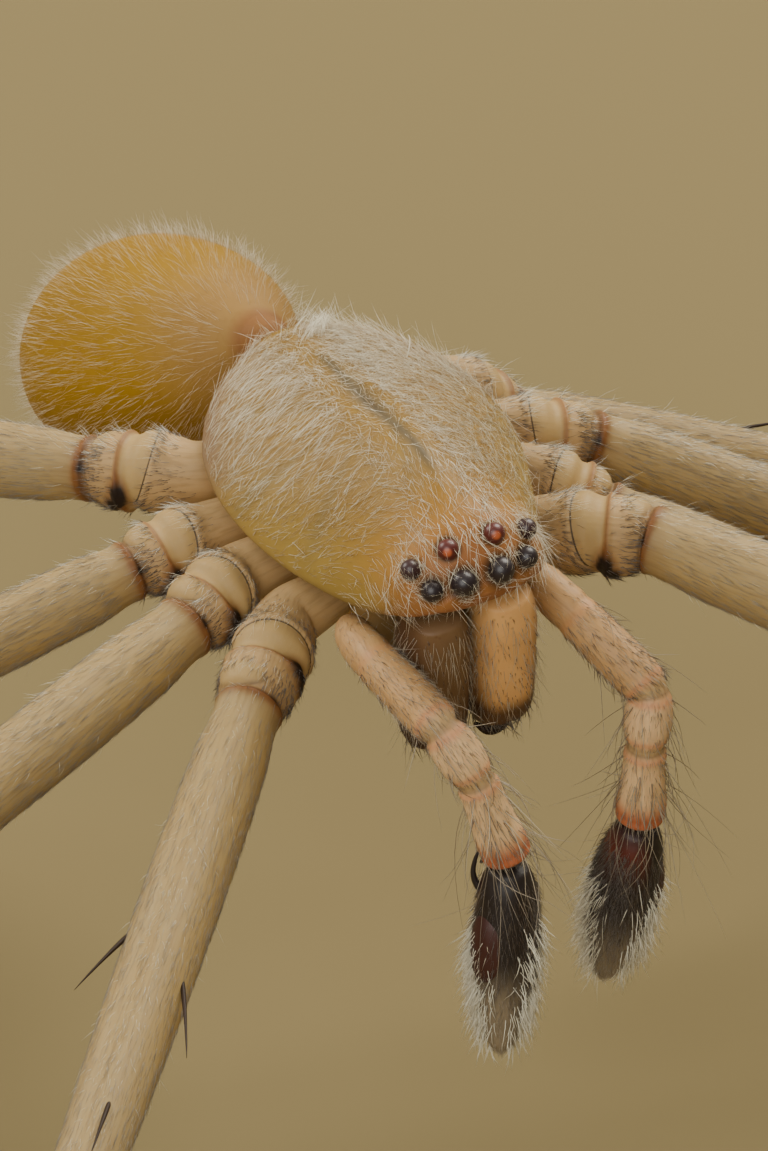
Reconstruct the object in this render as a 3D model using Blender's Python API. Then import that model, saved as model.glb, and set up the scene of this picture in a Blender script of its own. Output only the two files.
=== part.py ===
"""A male yellow sac spider at life size, standing with its legs spread, as separate closed solids.

Sizes are millimetres. The body has its own frame: the nose looks along -Y, the spider's left is +X,
and the coxae meet the carapace near z = 0. The whole body is then pitched and rolled onto its legs.
"""

import math

import bmesh
import bpy
import numpy as np
from mathutils import Matrix, Vector
from mathutils.bvhtree import BVHTree

MM = 0.001
UP = np.array([0.0, 0.0, 1.0])

# How the body stands over the floor
NOSE_DOWN_DEG = 12.0
LEFT_UP_DEG = 5.57
BODY_AT = (0.62, 1.04, 4.4)

# Gaps between neighbours
JOINT_GAP = 0.05
EYE_GAP = 0.015

# Carapace: place along the body, half width, rim height, top height, how steep the arch is
CARAPACE = (
    (-1.52, 0.26, 0.31, 0.43, 0.9),
    (-1.46, 0.36, 0.26, 0.52, 0.9),
    (-1.34, 0.45, 0.18, 0.61, 0.9),
    (-1.12, 0.53, 0.03, 0.66, 1.1),
    (-0.75, 0.68, -0.08, 0.69, 1.4),
    (-0.25, 0.82, -0.15, 0.51, 1.5),
    (0.20, 0.83, -0.21, 0.29, 1.5),
    (0.56, 0.73, -0.27, 0.12, 1.5),
    (0.84, 0.54, -0.29, -0.03, 1.4),
    (1.00, 0.34, -0.31, -0.14, 1.2),
    (1.08, 0.19, -0.32, -0.21, 1.0),
)
CARAPACE_RINGS = 22
CARAPACE_TOP_SIDES = 18
CARAPACE_BELLY_SIDES = 8
CARAPACE_BELLY = 0.05
FOVEA_Y = -0.10
FOVEA_DEPTH = 0.05
FOVEA_LENGTH = 0.34
FOVEA_WIDTH = 0.07

# Sternum block under the carapace: place along the body, half width
STERNUM = ((-0.78, 0.14), (-0.62, 0.34), (-0.25, 0.45), (0.20, 0.46), (0.62, 0.38), (0.92, 0.16))
STERNUM_TOP = -0.36
STERNUM_BOTTOM = -0.82
STERNUM_SIDES = 16
STERNUM_RINGS = 9

# Mouth parts
ENDITE_ROOT = (0.33, -0.70, -0.56)
ENDITE_TIP = (0.17, -0.97, -0.90)
ENDITE_HALF = (0.115, 0.085)
LABIUM_ROOT = (0.0, -0.80, -0.70)
LABIUM_TIP = (0.0, -0.93, -0.86)
LABIUM_HALF = (0.10, 0.055)
# Share of a lobe's length, swelling there
LOBE = ((0.0, 0.55), (0.08, 0.85), (0.3, 1.0), (0.7, 1.0), (0.92, 0.85), (1.0, 0.5))
LOBE_SIDES = 12

# Chelicerae and fangs
CHELICERA_X = 0.200
CHELICERA_Y = -1.29
# Height, half width, half depth, how far the section stands forward
CHELICERA = (
    (0.05, 0.130, 0.150, 0.03),
    (-0.02, 0.160, 0.185, 0.02),
    (-0.18, 0.175, 0.215, 0.01),
    (-0.40, 0.175, 0.215, 0.00),
    (-0.66, 0.175, 0.200, 0.00),
    (-0.86, 0.168, 0.180, 0.00),
    (-0.94, 0.145, 0.150, 0.00),
    (-0.97, 0.095, 0.100, 0.00),
)
CHELICERA_SIDES = 14
CHELICERA_RINGS = 10
FANG = ((0.245, -1.31, -1.025), (0.19, -1.335, -1.085), (0.12, -1.33, -1.105), (0.06, -1.28, -1.075))
FANG_HALF = (0.050, 0.046, 0.032, 0.010)
FANG_SIDES = 8

# Eyes: distance from the midline, place along the body, height, lens radius
EYES = {
    "front_median": (0.106, -1.487, 0.443, 0.073),
    "rear_median": (0.133, -1.350, 0.590, 0.060),
    "front_lateral": (0.262, -1.435, 0.420, 0.061),
    "rear_lateral": (0.298, -1.310, 0.455, 0.058),
}
EYE_SIDES = 12
EYE_RING_DEG = (0.0, 28.0, 55.0, 76.0)

# Pedicel, abdomen and spinnerets
PEDICEL_FRONT = (0.0, 0.97, -0.50)
PEDICEL_REAR = (-0.02, 1.22, -0.49)
PEDICEL_HALF = 0.10
# Share of the pedicel's length, swelling there
PEDICEL = ((0.0, 0.8), (0.25, 1.0), (0.75, 1.0), (1.0, 0.8))
PEDICEL_SIDES = 10
ABDOMEN_ROOT = (-0.025, 1.27, -0.49)
ABDOMEN_DIRECTION = (-0.158, 0.680, -0.717)
ABDOMEN_LENGTH = 2.65
# Share of the length, radius
ABDOMEN = (
    (0.0, 0.16),
    (0.03, 0.22),
    (0.10, 0.35),
    (0.22, 0.51),
    (0.38, 0.64),
    (0.56, 0.69),
    (0.74, 0.61),
    (0.88, 0.43),
    (0.97, 0.25),
    (1.0, 0.17),
)
ABDOMEN_SIDES = 24
ABDOMEN_RINGS = 18
SPINNERETS_HALF = 0.15
# Share of the base's length, share of its half width
SPINNERETS_BASE = ((0.0, 0.95), (0.3, 1.0), (1.0, 0.8))
SPINNERETS_BASE_LENGTH = 0.10
SPINNERETS_BASE_SIDES = 12
SPINNERETS_ROOT_SHARE = 0.4
SPINNERETS_SPREAD = 0.1
# Share of a cone's length, thickness there
SPINNERETS_CONE = ((0.0, 1.0), (0.55, 1.0), (0.85, 0.7), (1.0, 0.25))
SPINNERETS_CONE_SIDES = 6
# Each pair: distance from the midline, height over it, length, half thickness
SPINNERETS = ((0.078, -0.055, 0.17, 0.052), (0.082, 0.050, 0.25, 0.040), (0.028, -0.005, 0.13, 0.024))

# Palps: joints in the body frame, from the mouth parts to the tip
PALP_JOINTS = {
    "right": (
        (-0.50, -0.88, -0.40),
        (-0.537, -1.04, -0.31),
        (-0.537, -1.28, -0.228),
        (-0.432, -1.90, -0.184),
        (-0.320, -2.114, -0.438),
        (-0.215, -2.318, -0.951),
        (-0.440, -2.690, -2.09),
    ),
    "left": (
        (0.50, -0.88, -0.40),
        (0.545, -1.04, -0.335),
        (0.66, -1.28, -0.42),
        (0.895, -1.785, -0.657),
        (0.814, -1.896, -0.966),
        (0.751, -1.967, -1.499),
        (0.509, -2.030, -2.677),
    ),
}
PALP_SIDES = 10
# The hooked tooth of the palp's tibia and the spur that runs back from the cymbium beside it:
# each point's place past the last joint and its distance out from the palp's middle line
PALP_TOOTH = ((-0.10, 0.06), (-0.03, 0.115), (0.03, 0.155))
PALP_TOOTH_HALF = (0.034, 0.026, 0.006)
PALP_SPUR = ((0.22, 0.10), (0.17, 0.190), (0.09, 0.222), (0.0, 0.208), (-0.06, 0.180))
PALP_SPUR_HALF = (0.030, 0.024, 0.018, 0.013, 0.006)
PALP_HORN_SIDES = 6
# The bulb under the cymbium: share along it, half thickness
BULB = ((0.20, 0.05), (0.30, 0.115), (0.42, 0.130), (0.54, 0.115), (0.64, 0.05))
BULB_OFFSET = 0.085
BULB_SIDES = 10
PALP_OUTER_LEAN = 0.45

# Legs: lengths of femur, patella, tibia, metatarsus and tarsus
LEG_LENGTHS = {
    1: (3.70, 1.15, 4.00, 3.90, 1.35),
    2: (3.20, 1.05, 3.30, 3.40, 1.10),
    3: (2.45, 0.85, 2.15, 2.40, 0.85),
    4: (3.10, 0.95, 2.70, 3.30, 0.95),
}
LEG_THICKNESS = {1: 1.0, 2: 0.98, 3: 0.90, 4: 0.96}
# Socket on the sternum block and the place where the coxa leaves the carapace, on the left side
SOCKETS = {
    1: (0.43, -0.53, -0.50),
    2: (0.50, -0.17, -0.50),
    3: (0.50, 0.19, -0.55),
    4: (0.42, 0.55, -0.55),
}
COXA_PLACES = {
    1: (0.75, -0.60, -0.50),
    2: (0.85, -0.20, -0.50),
    3: (0.85, 0.20, -0.56),
    4: (0.75, 0.60, -0.56),
}
# Outward angle from straight ahead and rise of the coxa, its length, then angle and rise of the
# femur, and how far tibia and metatarsus turn on from it, all in degrees
LEG_DIRECTIONS = {
    ("right", 1): (43.0, 0.0, 0.66, 40.0, 0.0, -4.0, -6.0),
    ("right", 2): (63.0, 0.0, 0.46, 68.0, 0.0, 5.0, 3.0),
    ("right", 3): (86.0, -6.0, 0.48, 86.0, -6.0, 4.0, 8.0),
    ("right", 4): (133.0, -16.0, 0.61, 138.0, -17.0, 8.0, 5.0),
    ("left", 1): (60.0, 0.0, 0.63, 36.5, 0.5, 2.0, -5.0),
    ("left", 2): (52.0, -24.0, 0.50, 46.0, -14.0, 9.0, 6.0),
    ("left", 3): (75.0, -18.0, 0.58, 62.0, -26.0, 16.0, 12.0),
    ("left", 4): (90.0, -50.0, 0.56, 77.0, -29.0, 36.0, 20.0),
}
TROCHANTER_STARTS = 0.52
METATARSUS_DIP_DEG = 7.0
TARSUS_FLAT_SHARE = 0.3
TARSUS_DROP_SHARE = 0.6
SOLE_SHARE = 0.55
LEG_SIDES = 12

# Section tables: share of the segment, half width, half height
COXA_INNER = ((0.0, 0.135, 0.155), (0.55, 0.155, 0.185))
COXA_OUTER = ((0.0, 0.175, 0.205), (0.5, 0.215, 0.235), (0.85, 0.225, 0.240))
TROCHANTER = ((0.0, 0.192, 0.205), (0.22, 0.220, 0.228), (0.6, 0.222, 0.226), (1.0, 0.175, 0.180))
FEMUR = (
    (0.0, 0.150, 0.155),
    (0.03, 0.180, 0.190),
    (0.10, 0.205, 0.215),
    (0.28, 0.222, 0.230),
    (0.55, 0.218, 0.224),
    (0.80, 0.200, 0.208),
    (0.95, 0.188, 0.198),
    (1.0, 0.160, 0.170),
)
PATELLA = (
    (0.0, 0.155, 0.160),
    (0.12, 0.176, 0.190),
    (0.60, 0.182, 0.192),
    (0.92, 0.172, 0.180),
    (1.0, 0.150, 0.155),
)
TIBIA = (
    (0.05, 0.170, 0.175),
    (0.35, 0.170, 0.175),
    (0.75, 0.156, 0.160),
    (0.97, 0.150, 0.155),
    (1.0, 0.132, 0.138),
)
METATARSUS = (
    (0.0, 0.126, 0.130),
    (0.04, 0.138, 0.142),
    (0.45, 0.130, 0.134),
    (0.95, 0.120, 0.122),
    (1.0, 0.104, 0.106),
)
TARSUS_SLOPE = ((0.06, 0.112, 0.115), (0.5, 0.110, 0.112), (1.0, 0.100, 0.100))
TARSUS_FLAT = ((0.55, 0.098, 0.098), (0.9, 0.086, 0.080), (1.0, 0.060, 0.058))
PALP_ROOT = ((0.0, 0.085, 0.085), (0.5, 0.105, 0.105))
PALP_BEND = ((0.0, 0.115, 0.115), (0.5, 0.122, 0.125))
PALP_FEMUR = (
    (0.0, 0.128, 0.132),
    (0.35, 0.132, 0.138),
    (0.75, 0.135, 0.142),
    (0.93, 0.130, 0.135),
    (1.0, 0.105, 0.110),
)
PALP_PATELLA = ((0.0, 0.105, 0.110), (0.2, 0.130, 0.135), (0.65, 0.135, 0.138), (1.0, 0.105, 0.110))
PALP_TIBIA = ((0.16, 0.118, 0.120), (0.5, 0.128, 0.130), (0.85, 0.138, 0.142), (1.0, 0.115, 0.120))
CYMBIUM = (
    (0.0, 0.110, 0.110),
    (0.06, 0.140, 0.140),
    (0.22, 0.185, 0.175),
    (0.45, 0.200, 0.190),
    (0.68, 0.175, 0.160),
    (0.86, 0.120, 0.110),
    (0.96, 0.070, 0.065),
    (1.0, 0.035, 0.035),
)

# Spines of each leg: share of the segment, degrees round it from its front over the top, length
FEMUR_SPINES = ((0.48, 152.0, 0.38), (0.57, 28.0, 0.44), (0.84, 70.0, 0.38))
TIBIA_SPINES = (
    (0.18, -50.0, 0.42),
    (0.24, -130.0, 0.42),
    (0.40, 10.0, 0.40),
    (0.52, -52.0, 0.44),
    (0.60, -128.0, 0.44),
    (0.76, 172.0, 0.38),
)
METATARSUS_SPINES = ((0.08, -48.0, 0.40), (0.11, -132.0, 0.40), (0.38, 0.0, 0.34), (0.46, -96.0, 0.36))
SPINE_LEAN_DEG = 29.0
SPINE_SUNK = 0.13
SPINE_MIDDLE_SHARE = 0.45
SPINE_SWEEP = 0.12
SPINE_HALF = (0.026, 0.022, 0.007)
SPINE_SIDES = 4
SPINE_SEED = 7
# How far a spine's share, angle and length vary
SPINE_VARIES = (0.02, 7.0, 0.04)

# The two claws of each foot: points ahead of the tip, out from its middle line and above the floor
CLAW = ((-0.06, 0.026, 0.055), (0.035, 0.034, 0.095), (0.085, 0.036, 0.075), (0.105, 0.036, 0.030))
CLAW_HALF = (0.018, 0.017, 0.012, 0.005)
CLAW_SIDES = 5

# Finish: colour and roughness
FINISHES = {
    "carapace": ((0.62, 0.47, 0.24), 0.55),
    "underside": ((0.66, 0.50, 0.27), 0.60),
    "leg": ((0.72, 0.58, 0.36), 0.55),
    "leg_joint": ((0.70, 0.48, 0.26), 0.55),
    "palp": ((0.70, 0.38, 0.18), 0.50),
    "cymbium": ((0.06, 0.035, 0.025), 0.60),
    "chelicera": ((0.48, 0.22, 0.06), 0.35),
    "fang": ((0.03, 0.012, 0.008), 0.20),
    "eye": ((0.05, 0.012, 0.010), 0.08),
    "abdomen": ((0.72, 0.50, 0.16), 0.60),
}


def clear_scene():
    for old in list(bpy.data.objects):
        bpy.data.objects.remove(old, do_unlink=True)


def finish(name):
    """The named material, made once."""
    made = bpy.data.materials.get(name)
    if made:
        return made
    colour, roughness = FINISHES[name]
    made = bpy.data.materials.new(name)
    made.use_nodes = True
    shader = made.node_tree.nodes["Principled BSDF"]
    shader.inputs["Base Color"].default_value = (*colour, 1.0)
    shader.inputs["Roughness"].default_value = roughness
    shader.inputs["Metallic"].default_value = 0.0
    return made


def unit(v):
    v = np.asarray(v, float)
    return v / np.linalg.norm(v, axis=-1, keepdims=True)


def smooth(stations, at):
    """Each column of the table as a smooth curve over the first one, read at the places given."""
    table = np.asarray(stations, float)
    places, values = table[:, 0], table[:, 1:]
    slopes = np.gradient(values, places, axis=0)
    i = np.clip(np.searchsorted(places, at) - 1, 0, len(places) - 2)
    step = (places[i + 1] - places[i])[:, None]
    t = (at - places[i])[:, None] / step
    return (
        (2 * t**3 - 3 * t**2 + 1) * values[i]
        + (t**3 - 2 * t**2 + t) * step * slopes[i]
        + (3 * t**2 - 2 * t**3) * values[i + 1]
        + (t**3 - t**2) * step * slopes[i + 1]
    )


def body_axes():
    """The world's X, Y and Z as rows, in the body frame: level with the floor after pitch and roll."""
    pitch, roll = math.radians(NOSE_DOWN_DEG), math.radians(LEFT_UP_DEG)
    up = np.array([math.sin(roll), math.cos(roll) * math.sin(pitch), math.cos(roll) * math.cos(pitch)])
    back = unit(np.array([0.0, 1.0, 0.0]) - up[1] * up)
    return np.array([np.cross(back, up), back, up])


AXES = body_axes()


def placed(points):
    """Body frame to world frame, in millimetres."""
    return np.asarray(points, float) @ AXES.T + np.array(BODY_AT)


def turned(directions):
    return np.asarray(directions, float) @ AXES.T


def heading(side, outward_deg, rise_deg):
    """A direction in the body frame, turned outward from straight ahead and lifted."""
    outward, rise = math.radians(outward_deg), math.radians(rise_deg)
    sign = 1.0 if side == "left" else -1.0
    flat = math.cos(rise)
    return np.array([sign * math.sin(outward) * flat, -math.cos(outward) * flat, math.sin(rise)])


def closed_mesh(name, rings):
    """A closed skin in millimetres that runs from ring to ring, with a flat face over each end ring."""
    count, sides = rings.shape[:2]
    mesh = bpy.data.meshes.new(name)
    faces = []
    for r in range(count - 1):
        for s in range(sides):
            t = (s + 1) % sides
            faces.append((r * sides + s, r * sides + t, (r + 1) * sides + t, (r + 1) * sides + s))
    faces.append(tuple(range(sides)))
    faces.append(tuple((count - 1) * sides + s for s in range(sides)))
    mesh.from_pydata(rings.reshape(-1, 3).tolist(), [], faces)
    shape = bmesh.new()
    shape.from_mesh(mesh)
    bmesh.ops.recalc_face_normals(shape, faces=shape.faces)
    shape.to_mesh(mesh)
    shape.free()
    return mesh


def show(name, mesh, material):
    """Puts a mesh given in millimetres into the scene at its real size."""
    mesh.transform(Matrix.Scale(MM, 4))
    mesh.shade_smooth()
    mesh.set_sharp_from_angle(angle=math.radians(50))
    mesh.materials.append(finish(material))
    made = bpy.data.objects.new(name, mesh)
    bpy.context.collection.objects.link(made)
    return made


def solid(name, rings, material):
    return show(name, closed_mesh(name, rings), material)


def keep_largest(mesh):
    """Keeps only the largest closed surface of the mesh."""
    shape = bmesh.new()
    shape.from_mesh(mesh)
    left = set(shape.verts)
    surfaces = []
    while left:
        edge_of_search = [left.pop()]
        surface = set(edge_of_search)
        while edge_of_search:
            vert = edge_of_search.pop()
            near = {edge.other_vert(vert) for edge in vert.link_edges} & left
            left -= near
            surface |= near
            edge_of_search.extend(near)
        surfaces.append(surface)
    largest = max(surfaces, key=len)
    scraps = [vert for vert in shape.verts if vert not in largest]
    bmesh.ops.delete(shape, geom=scraps, context="VERTS")
    shape.to_mesh(mesh)
    shape.free()


def fused(name, rings, growths, material):
    """A body with its growths joined to it by one union, as one closed surface."""
    group = bpy.data.collections.new(name + "_growths")
    for index, growth in enumerate(growths):
        piece_name = f"{name}_growth_{index}"
        group.objects.link(bpy.data.objects.new(piece_name, closed_mesh(piece_name, growth)))
    core = bpy.data.objects.new(name + "_core", closed_mesh(name + "_core", rings))
    bpy.context.collection.objects.link(core)
    union = core.modifiers.new("Growths", "BOOLEAN")
    union.operation = "UNION"
    union.operand_type = "COLLECTION"
    union.collection = group
    union.solver = "EXACT"
    core_now = core.evaluated_get(bpy.context.evaluated_depsgraph_get())
    mesh = bpy.data.meshes.new_from_object(core_now)
    for piece in [core, *group.objects]:
        bpy.data.objects.remove(piece, do_unlink=True)
    bpy.data.collections.remove(group)
    keep_largest(mesh)
    mesh.materials.clear()
    return show(name, mesh, material)


def horn(points, halves, sides):
    """Rings of a tapered spike along a bent line of points."""
    points = np.asarray(points, float)
    bends = unit(np.gradient(points, axis=0))
    up = np.eye(3)[np.argmin(np.abs(bends.mean(axis=0)))]
    return round_path(points, bends, np.column_stack([halves, halves]), up, sides)


def round_path(points, normals, halves, up, sides):
    """Rings of points about a path: each ring lies across its normal, wider or taller as halves say."""
    side = unit(np.cross(normals, up))
    lift = np.cross(side, normals)
    angle = 2 * math.pi * (np.arange(sides) + 0.5) / sides
    across = np.cos(angle)[None, :, None] * side[:, None] * halves[:, 0, None, None]
    above = np.sin(angle)[None, :, None] * lift[:, None] * halves[:, 1, None, None]
    return points[:, None] + across + above


def limb(joints, nodes, up, sides, scale=1.0):
    """Rings for each node of a jointed limb.

    The joints are points in the world. Each node takes the next segments, one section table each, and
    its end rings lie in the plane that halves the bend, with half the joint gap on either side.
    """
    joints = np.asarray(joints, float)
    along = unit(np.diff(joints, axis=0))
    halved = np.vstack([along[:1], unit(along[:-1] + along[1:]), along[-1:]])
    segment = 0
    made = {}
    for name, tables in nodes:
        points, normals, halves = [], [], []
        for k, table in enumerate(tables):
            start, end = joints[segment], joints[segment + 1]
            for share, half_width, half_height in table:
                normal = along[segment]
                if share == 0.0:
                    normal = halved[segment]
                if share == 1.0:
                    normal = halved[segment + 1]
                point = start + share * (end - start)
                if share == 0.0 and k == 0:
                    point = point + normal * JOINT_GAP / 2
                if share == 1.0 and k == len(tables) - 1:
                    point = point - normal * JOINT_GAP / 2
                points.append(point)
                normals.append(normal)
                halves.append((half_width * scale, half_height * scale))
            segment += 1
        ups = np.broadcast_to(up, (len(points), 3))
        made[name] = round_path(np.array(points), np.array(normals), np.array(halves), ups, sides)
    return made


def carapace_rings():
    """Arched sections along the body, with a shallow groove on the midline where the muscles meet."""
    ends = CARAPACE[0][0], CARAPACE[-1][0]
    share = 0.5 - 0.5 * np.cos(np.linspace(0, math.pi, CARAPACE_RINGS))
    share = 0.55 * share + 0.45 * np.linspace(0, 1, CARAPACE_RINGS)
    places = ends[0] + share * (ends[1] - ends[0])
    half, rim, top, steep = smooth(CARAPACE, places).T
    arch = np.linspace(0, math.pi, CARAPACE_TOP_SIDES + 1)
    belly = np.linspace(math.pi, 2 * math.pi, CARAPACE_BELLY_SIDES + 1)[1:-1]
    steep = steep[:, None]
    across = np.sign(np.cos(arch)) * np.abs(np.cos(arch)) ** steep
    across = np.hstack([across, np.tile(np.cos(belly), (len(places), 1))])
    above = np.hstack([np.abs(np.sin(arch)) ** steep, np.zeros((len(places), len(belly)))])
    below = np.concatenate([np.zeros(len(arch)), np.sin(belly)])
    x = half[:, None] * across
    z = rim[:, None] + (top - rim)[:, None] * above + CARAPACE_BELLY * below
    y = np.broadcast_to(places[:, None], x.shape)
    groove = np.exp(-((y - FOVEA_Y) / FOVEA_LENGTH) ** 2 - (x / FOVEA_WIDTH) ** 2) * (above > 0.5)
    return np.stack([x, y, z - FOVEA_DEPTH * groove], axis=-1)


def sternum_rings():
    """A rounded block: the heart-shaped plate below, and the core that carries the coxae."""
    places = np.linspace(STERNUM[0][0], STERNUM[-1][0], STERNUM_RINGS)
    half = smooth(STERNUM, places)[:, 0]
    angle = 2 * math.pi * (np.arange(STERNUM_SIDES) + 0.5) / STERNUM_SIDES
    squared = 0.6
    across = np.sign(np.cos(angle)) * np.abs(np.cos(angle)) ** squared
    above = np.sign(np.sin(angle)) * np.abs(np.sin(angle)) ** squared
    middle, tall = (STERNUM_TOP + STERNUM_BOTTOM) / 2, (STERNUM_TOP - STERNUM_BOTTOM) / 2
    taper = 0.75 + 0.25 * half / half.max()
    x = half[:, None] * across
    z = middle + tall * taper[:, None] * above
    return np.stack([x, np.broadcast_to(places[:, None], x.shape), z], axis=-1)


def make_prosoma():
    carapace = solid("carapace", placed(carapace_rings()), "carapace")
    solid("sternum", placed(sternum_rings()), "underside")
    lobes = {"endite_right": -1.0, "endite_left": 1.0}
    for name, sign in lobes.items():
        flip = np.array([sign, 1.0, 1.0])
        root, tip = np.array(ENDITE_ROOT) * flip, np.array(ENDITE_TIP) * flip
        rounded_rod(name, root, tip, ENDITE_HALF, "underside")
    rounded_rod("labium", LABIUM_ROOT, LABIUM_TIP, LABIUM_HALF, "underside")
    return carapace


def rounded_rod(name, start, end, halves, material):
    """A short lobe with rounded ends between two points of the body frame."""
    share, swell = np.array(LOBE).T
    start, end = placed([start, end])
    points = start + share[:, None] * (end - start)
    normals = np.broadcast_to(unit(end - start), points.shape)
    sizes = swell[:, None] * np.array(halves)
    solid(name, round_path(points, normals, sizes, turned((0.0, -1.0, 0.4)), LOBE_SIDES), material)


def make_chelicerae():
    for side, sign in (("right", -1.0), ("left", 1.0)):
        table = np.array(CHELICERA)
        places = np.linspace(0, 1, CHELICERA_RINGS)
        spread = np.column_stack([np.linspace(0, 1, len(table)), table])
        height, half_width, half_depth, forward = smooth(spread, places).T
        middle = np.full(CHELICERA_RINGS, sign * CHELICERA_X)
        centre = np.column_stack([middle, CHELICERA_Y - forward, height])
        normals = turned(np.broadcast_to((0.0, 0.0, -1.0), centre.shape))
        sizes = np.column_stack([half_width, half_depth])
        rings = round_path(placed(centre), normals, sizes, turned((0.0, -1.0, 0.0)), CHELICERA_SIDES)
        solid("chelicera_" + side, rings, "chelicera")
        fang = placed(np.array(FANG) * np.array([sign, 1.0, 1.0]))
        solid("fang_" + side, horn(fang, FANG_HALF, FANG_SIDES), "fang")


def make_eyes(carapace):
    """A lens on the skin of the head at each eye's place."""
    corners = [v.co for v in carapace.data.vertices]
    skin = BVHTree.FromPolygons(corners, [tuple(p.vertices) for p in carapace.data.polygons])
    tilt = np.radians(EYE_RING_DEG)
    for kind, (x, y, z, radius) in EYES.items():
        for side, sign in (("right", -1.0), ("left", 1.0)):
            aim = placed((sign * x, y, z)) * MM
            spot, normal = skin.find_nearest(Vector(aim))[:2]
            centre, out = np.array(spot) / MM, np.array(normal)
            rise = EYE_GAP + radius * np.sin(tilt)
            points = centre + rise[:, None] * out
            sizes = np.column_stack([radius * np.cos(tilt)] * 2)
            normals = np.broadcast_to(out, points.shape)
            rings = round_path(points, normals, sizes, turned((0.3, 0.2, 1.0)), EYE_SIDES)
            solid(f"eye_{kind}_{side}", rings, "eye")


def make_abdomen():
    front, rear = placed([PEDICEL_FRONT, PEDICEL_REAR])
    share, swell = np.array(PEDICEL).T
    points = front + share[:, None] * (rear - front)
    sizes = np.column_stack([PEDICEL_HALF * swell] * 2)
    normals = np.broadcast_to(unit(rear - front), points.shape)
    solid("pedicel", round_path(points, normals, sizes, turned((0.0, 0.0, 1.0)), PEDICEL_SIDES), "underside")

    direction = unit(turned(ABDOMEN_DIRECTION))
    root = placed(ABDOMEN_ROOT)
    share = 0.5 - 0.5 * np.cos(np.linspace(0, math.pi, ABDOMEN_RINGS))
    radius = smooth(ABDOMEN, share)[:, 0]
    points = root + share[:, None] * ABDOMEN_LENGTH * direction
    normals = np.broadcast_to(direction, points.shape)
    sizes = np.column_stack([radius, radius])
    up = turned((0.0, 0.3, 1.0))
    solid("abdomen", round_path(points, normals, sizes, up, ABDOMEN_SIDES), "abdomen")

    make_spinnerets(root + (ABDOMEN_LENGTH + JOINT_GAP) * direction, direction, up)


def make_spinnerets(root, direction, up):
    """A short base with three pairs of small cones."""
    share, swell = np.array(SPINNERETS_BASE).T
    points = root + share[:, None] * SPINNERETS_BASE_LENGTH * direction
    sizes = np.column_stack([SPINNERETS_HALF * swell] * 2)
    normals = np.broadcast_to(direction, points.shape)
    base = round_path(points, normals, sizes, up, SPINNERETS_BASE_SIDES)
    side = unit(np.cross(direction, up))
    lift = np.cross(side, direction)
    foot = root + SPINNERETS_ROOT_SHARE * SPINNERETS_BASE_LENGTH * direction
    places, taper = np.array(SPINNERETS_CONE).T
    cones = []
    for out, height, length, half in SPINNERETS:
        for sign in (-1.0, 1.0):
            start = foot + sign * out * side + height * lift
            reach = length * (direction + SPINNERETS_SPREAD * sign * side)
            cones.append(horn(start + places[:, None] * reach, half * taper, SPINNERETS_CONE_SIDES))
    fused("spinnerets", base, cones, "underside")


def make_palps():
    for side in ("right", "left"):
        nodes = (
            (f"palp_{side}_femur", (PALP_ROOT, PALP_BEND, PALP_FEMUR)),
            (f"palp_{side}_tibia", (PALP_PATELLA, PALP_TIBIA)),
            (f"palp_{side}_cymbium", (CYMBIUM,)),
        )
        up = turned((0.0, -0.75, 0.66))
        joints = placed(PALP_JOINTS[side])
        rings = limb(joints, nodes, up, PALP_SIDES)
        femur, tibia, cymbium = (rings[name] for name, _ in nodes)
        outer = turned((-1.0 if side == "right" else 1.0, PALP_OUTER_LEAN, 0.0))
        last, tip = joints[-2], joints[-1]
        along = unit(tip - last)
        outer = unit(outer - (outer @ along) * along)
        tooth = [last + past * along + out * outer for past, out in PALP_TOOTH]
        spur = [last + past * along + out * outer for past, out in PALP_SPUR]
        under = unit(np.cross(outer, along)) * (1.0 if side == "right" else -1.0)
        lean = unit(outer + under)
        share, halves = np.array(BULB).T
        bulb = last + share[:, None] * (tip - last) + BULB_OFFSET * lean
        solid(f"palp_{side}_femur", femur, "palp")
        fused(f"palp_{side}_tibia", tibia, [horn(tooth, PALP_TOOTH_HALF, PALP_HORN_SIDES)], "palp")
        growths = [horn(bulb, halves, BULB_SIDES), horn(spur, PALP_SPUR_HALF, PALP_HORN_SIDES)]
        fused(f"palp_{side}_cymbium", cymbium, growths, "cymbium")


def compass(direction):
    """Direction as bearing and rise in the world."""
    flat = math.hypot(direction[0], direction[1])
    return math.atan2(direction[1], direction[0]), math.atan2(direction[2], flat)


def towards(bearing, rise):
    flat = math.cos(rise)
    return np.array([flat * math.cos(bearing), flat * math.sin(bearing), math.sin(rise)])


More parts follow.
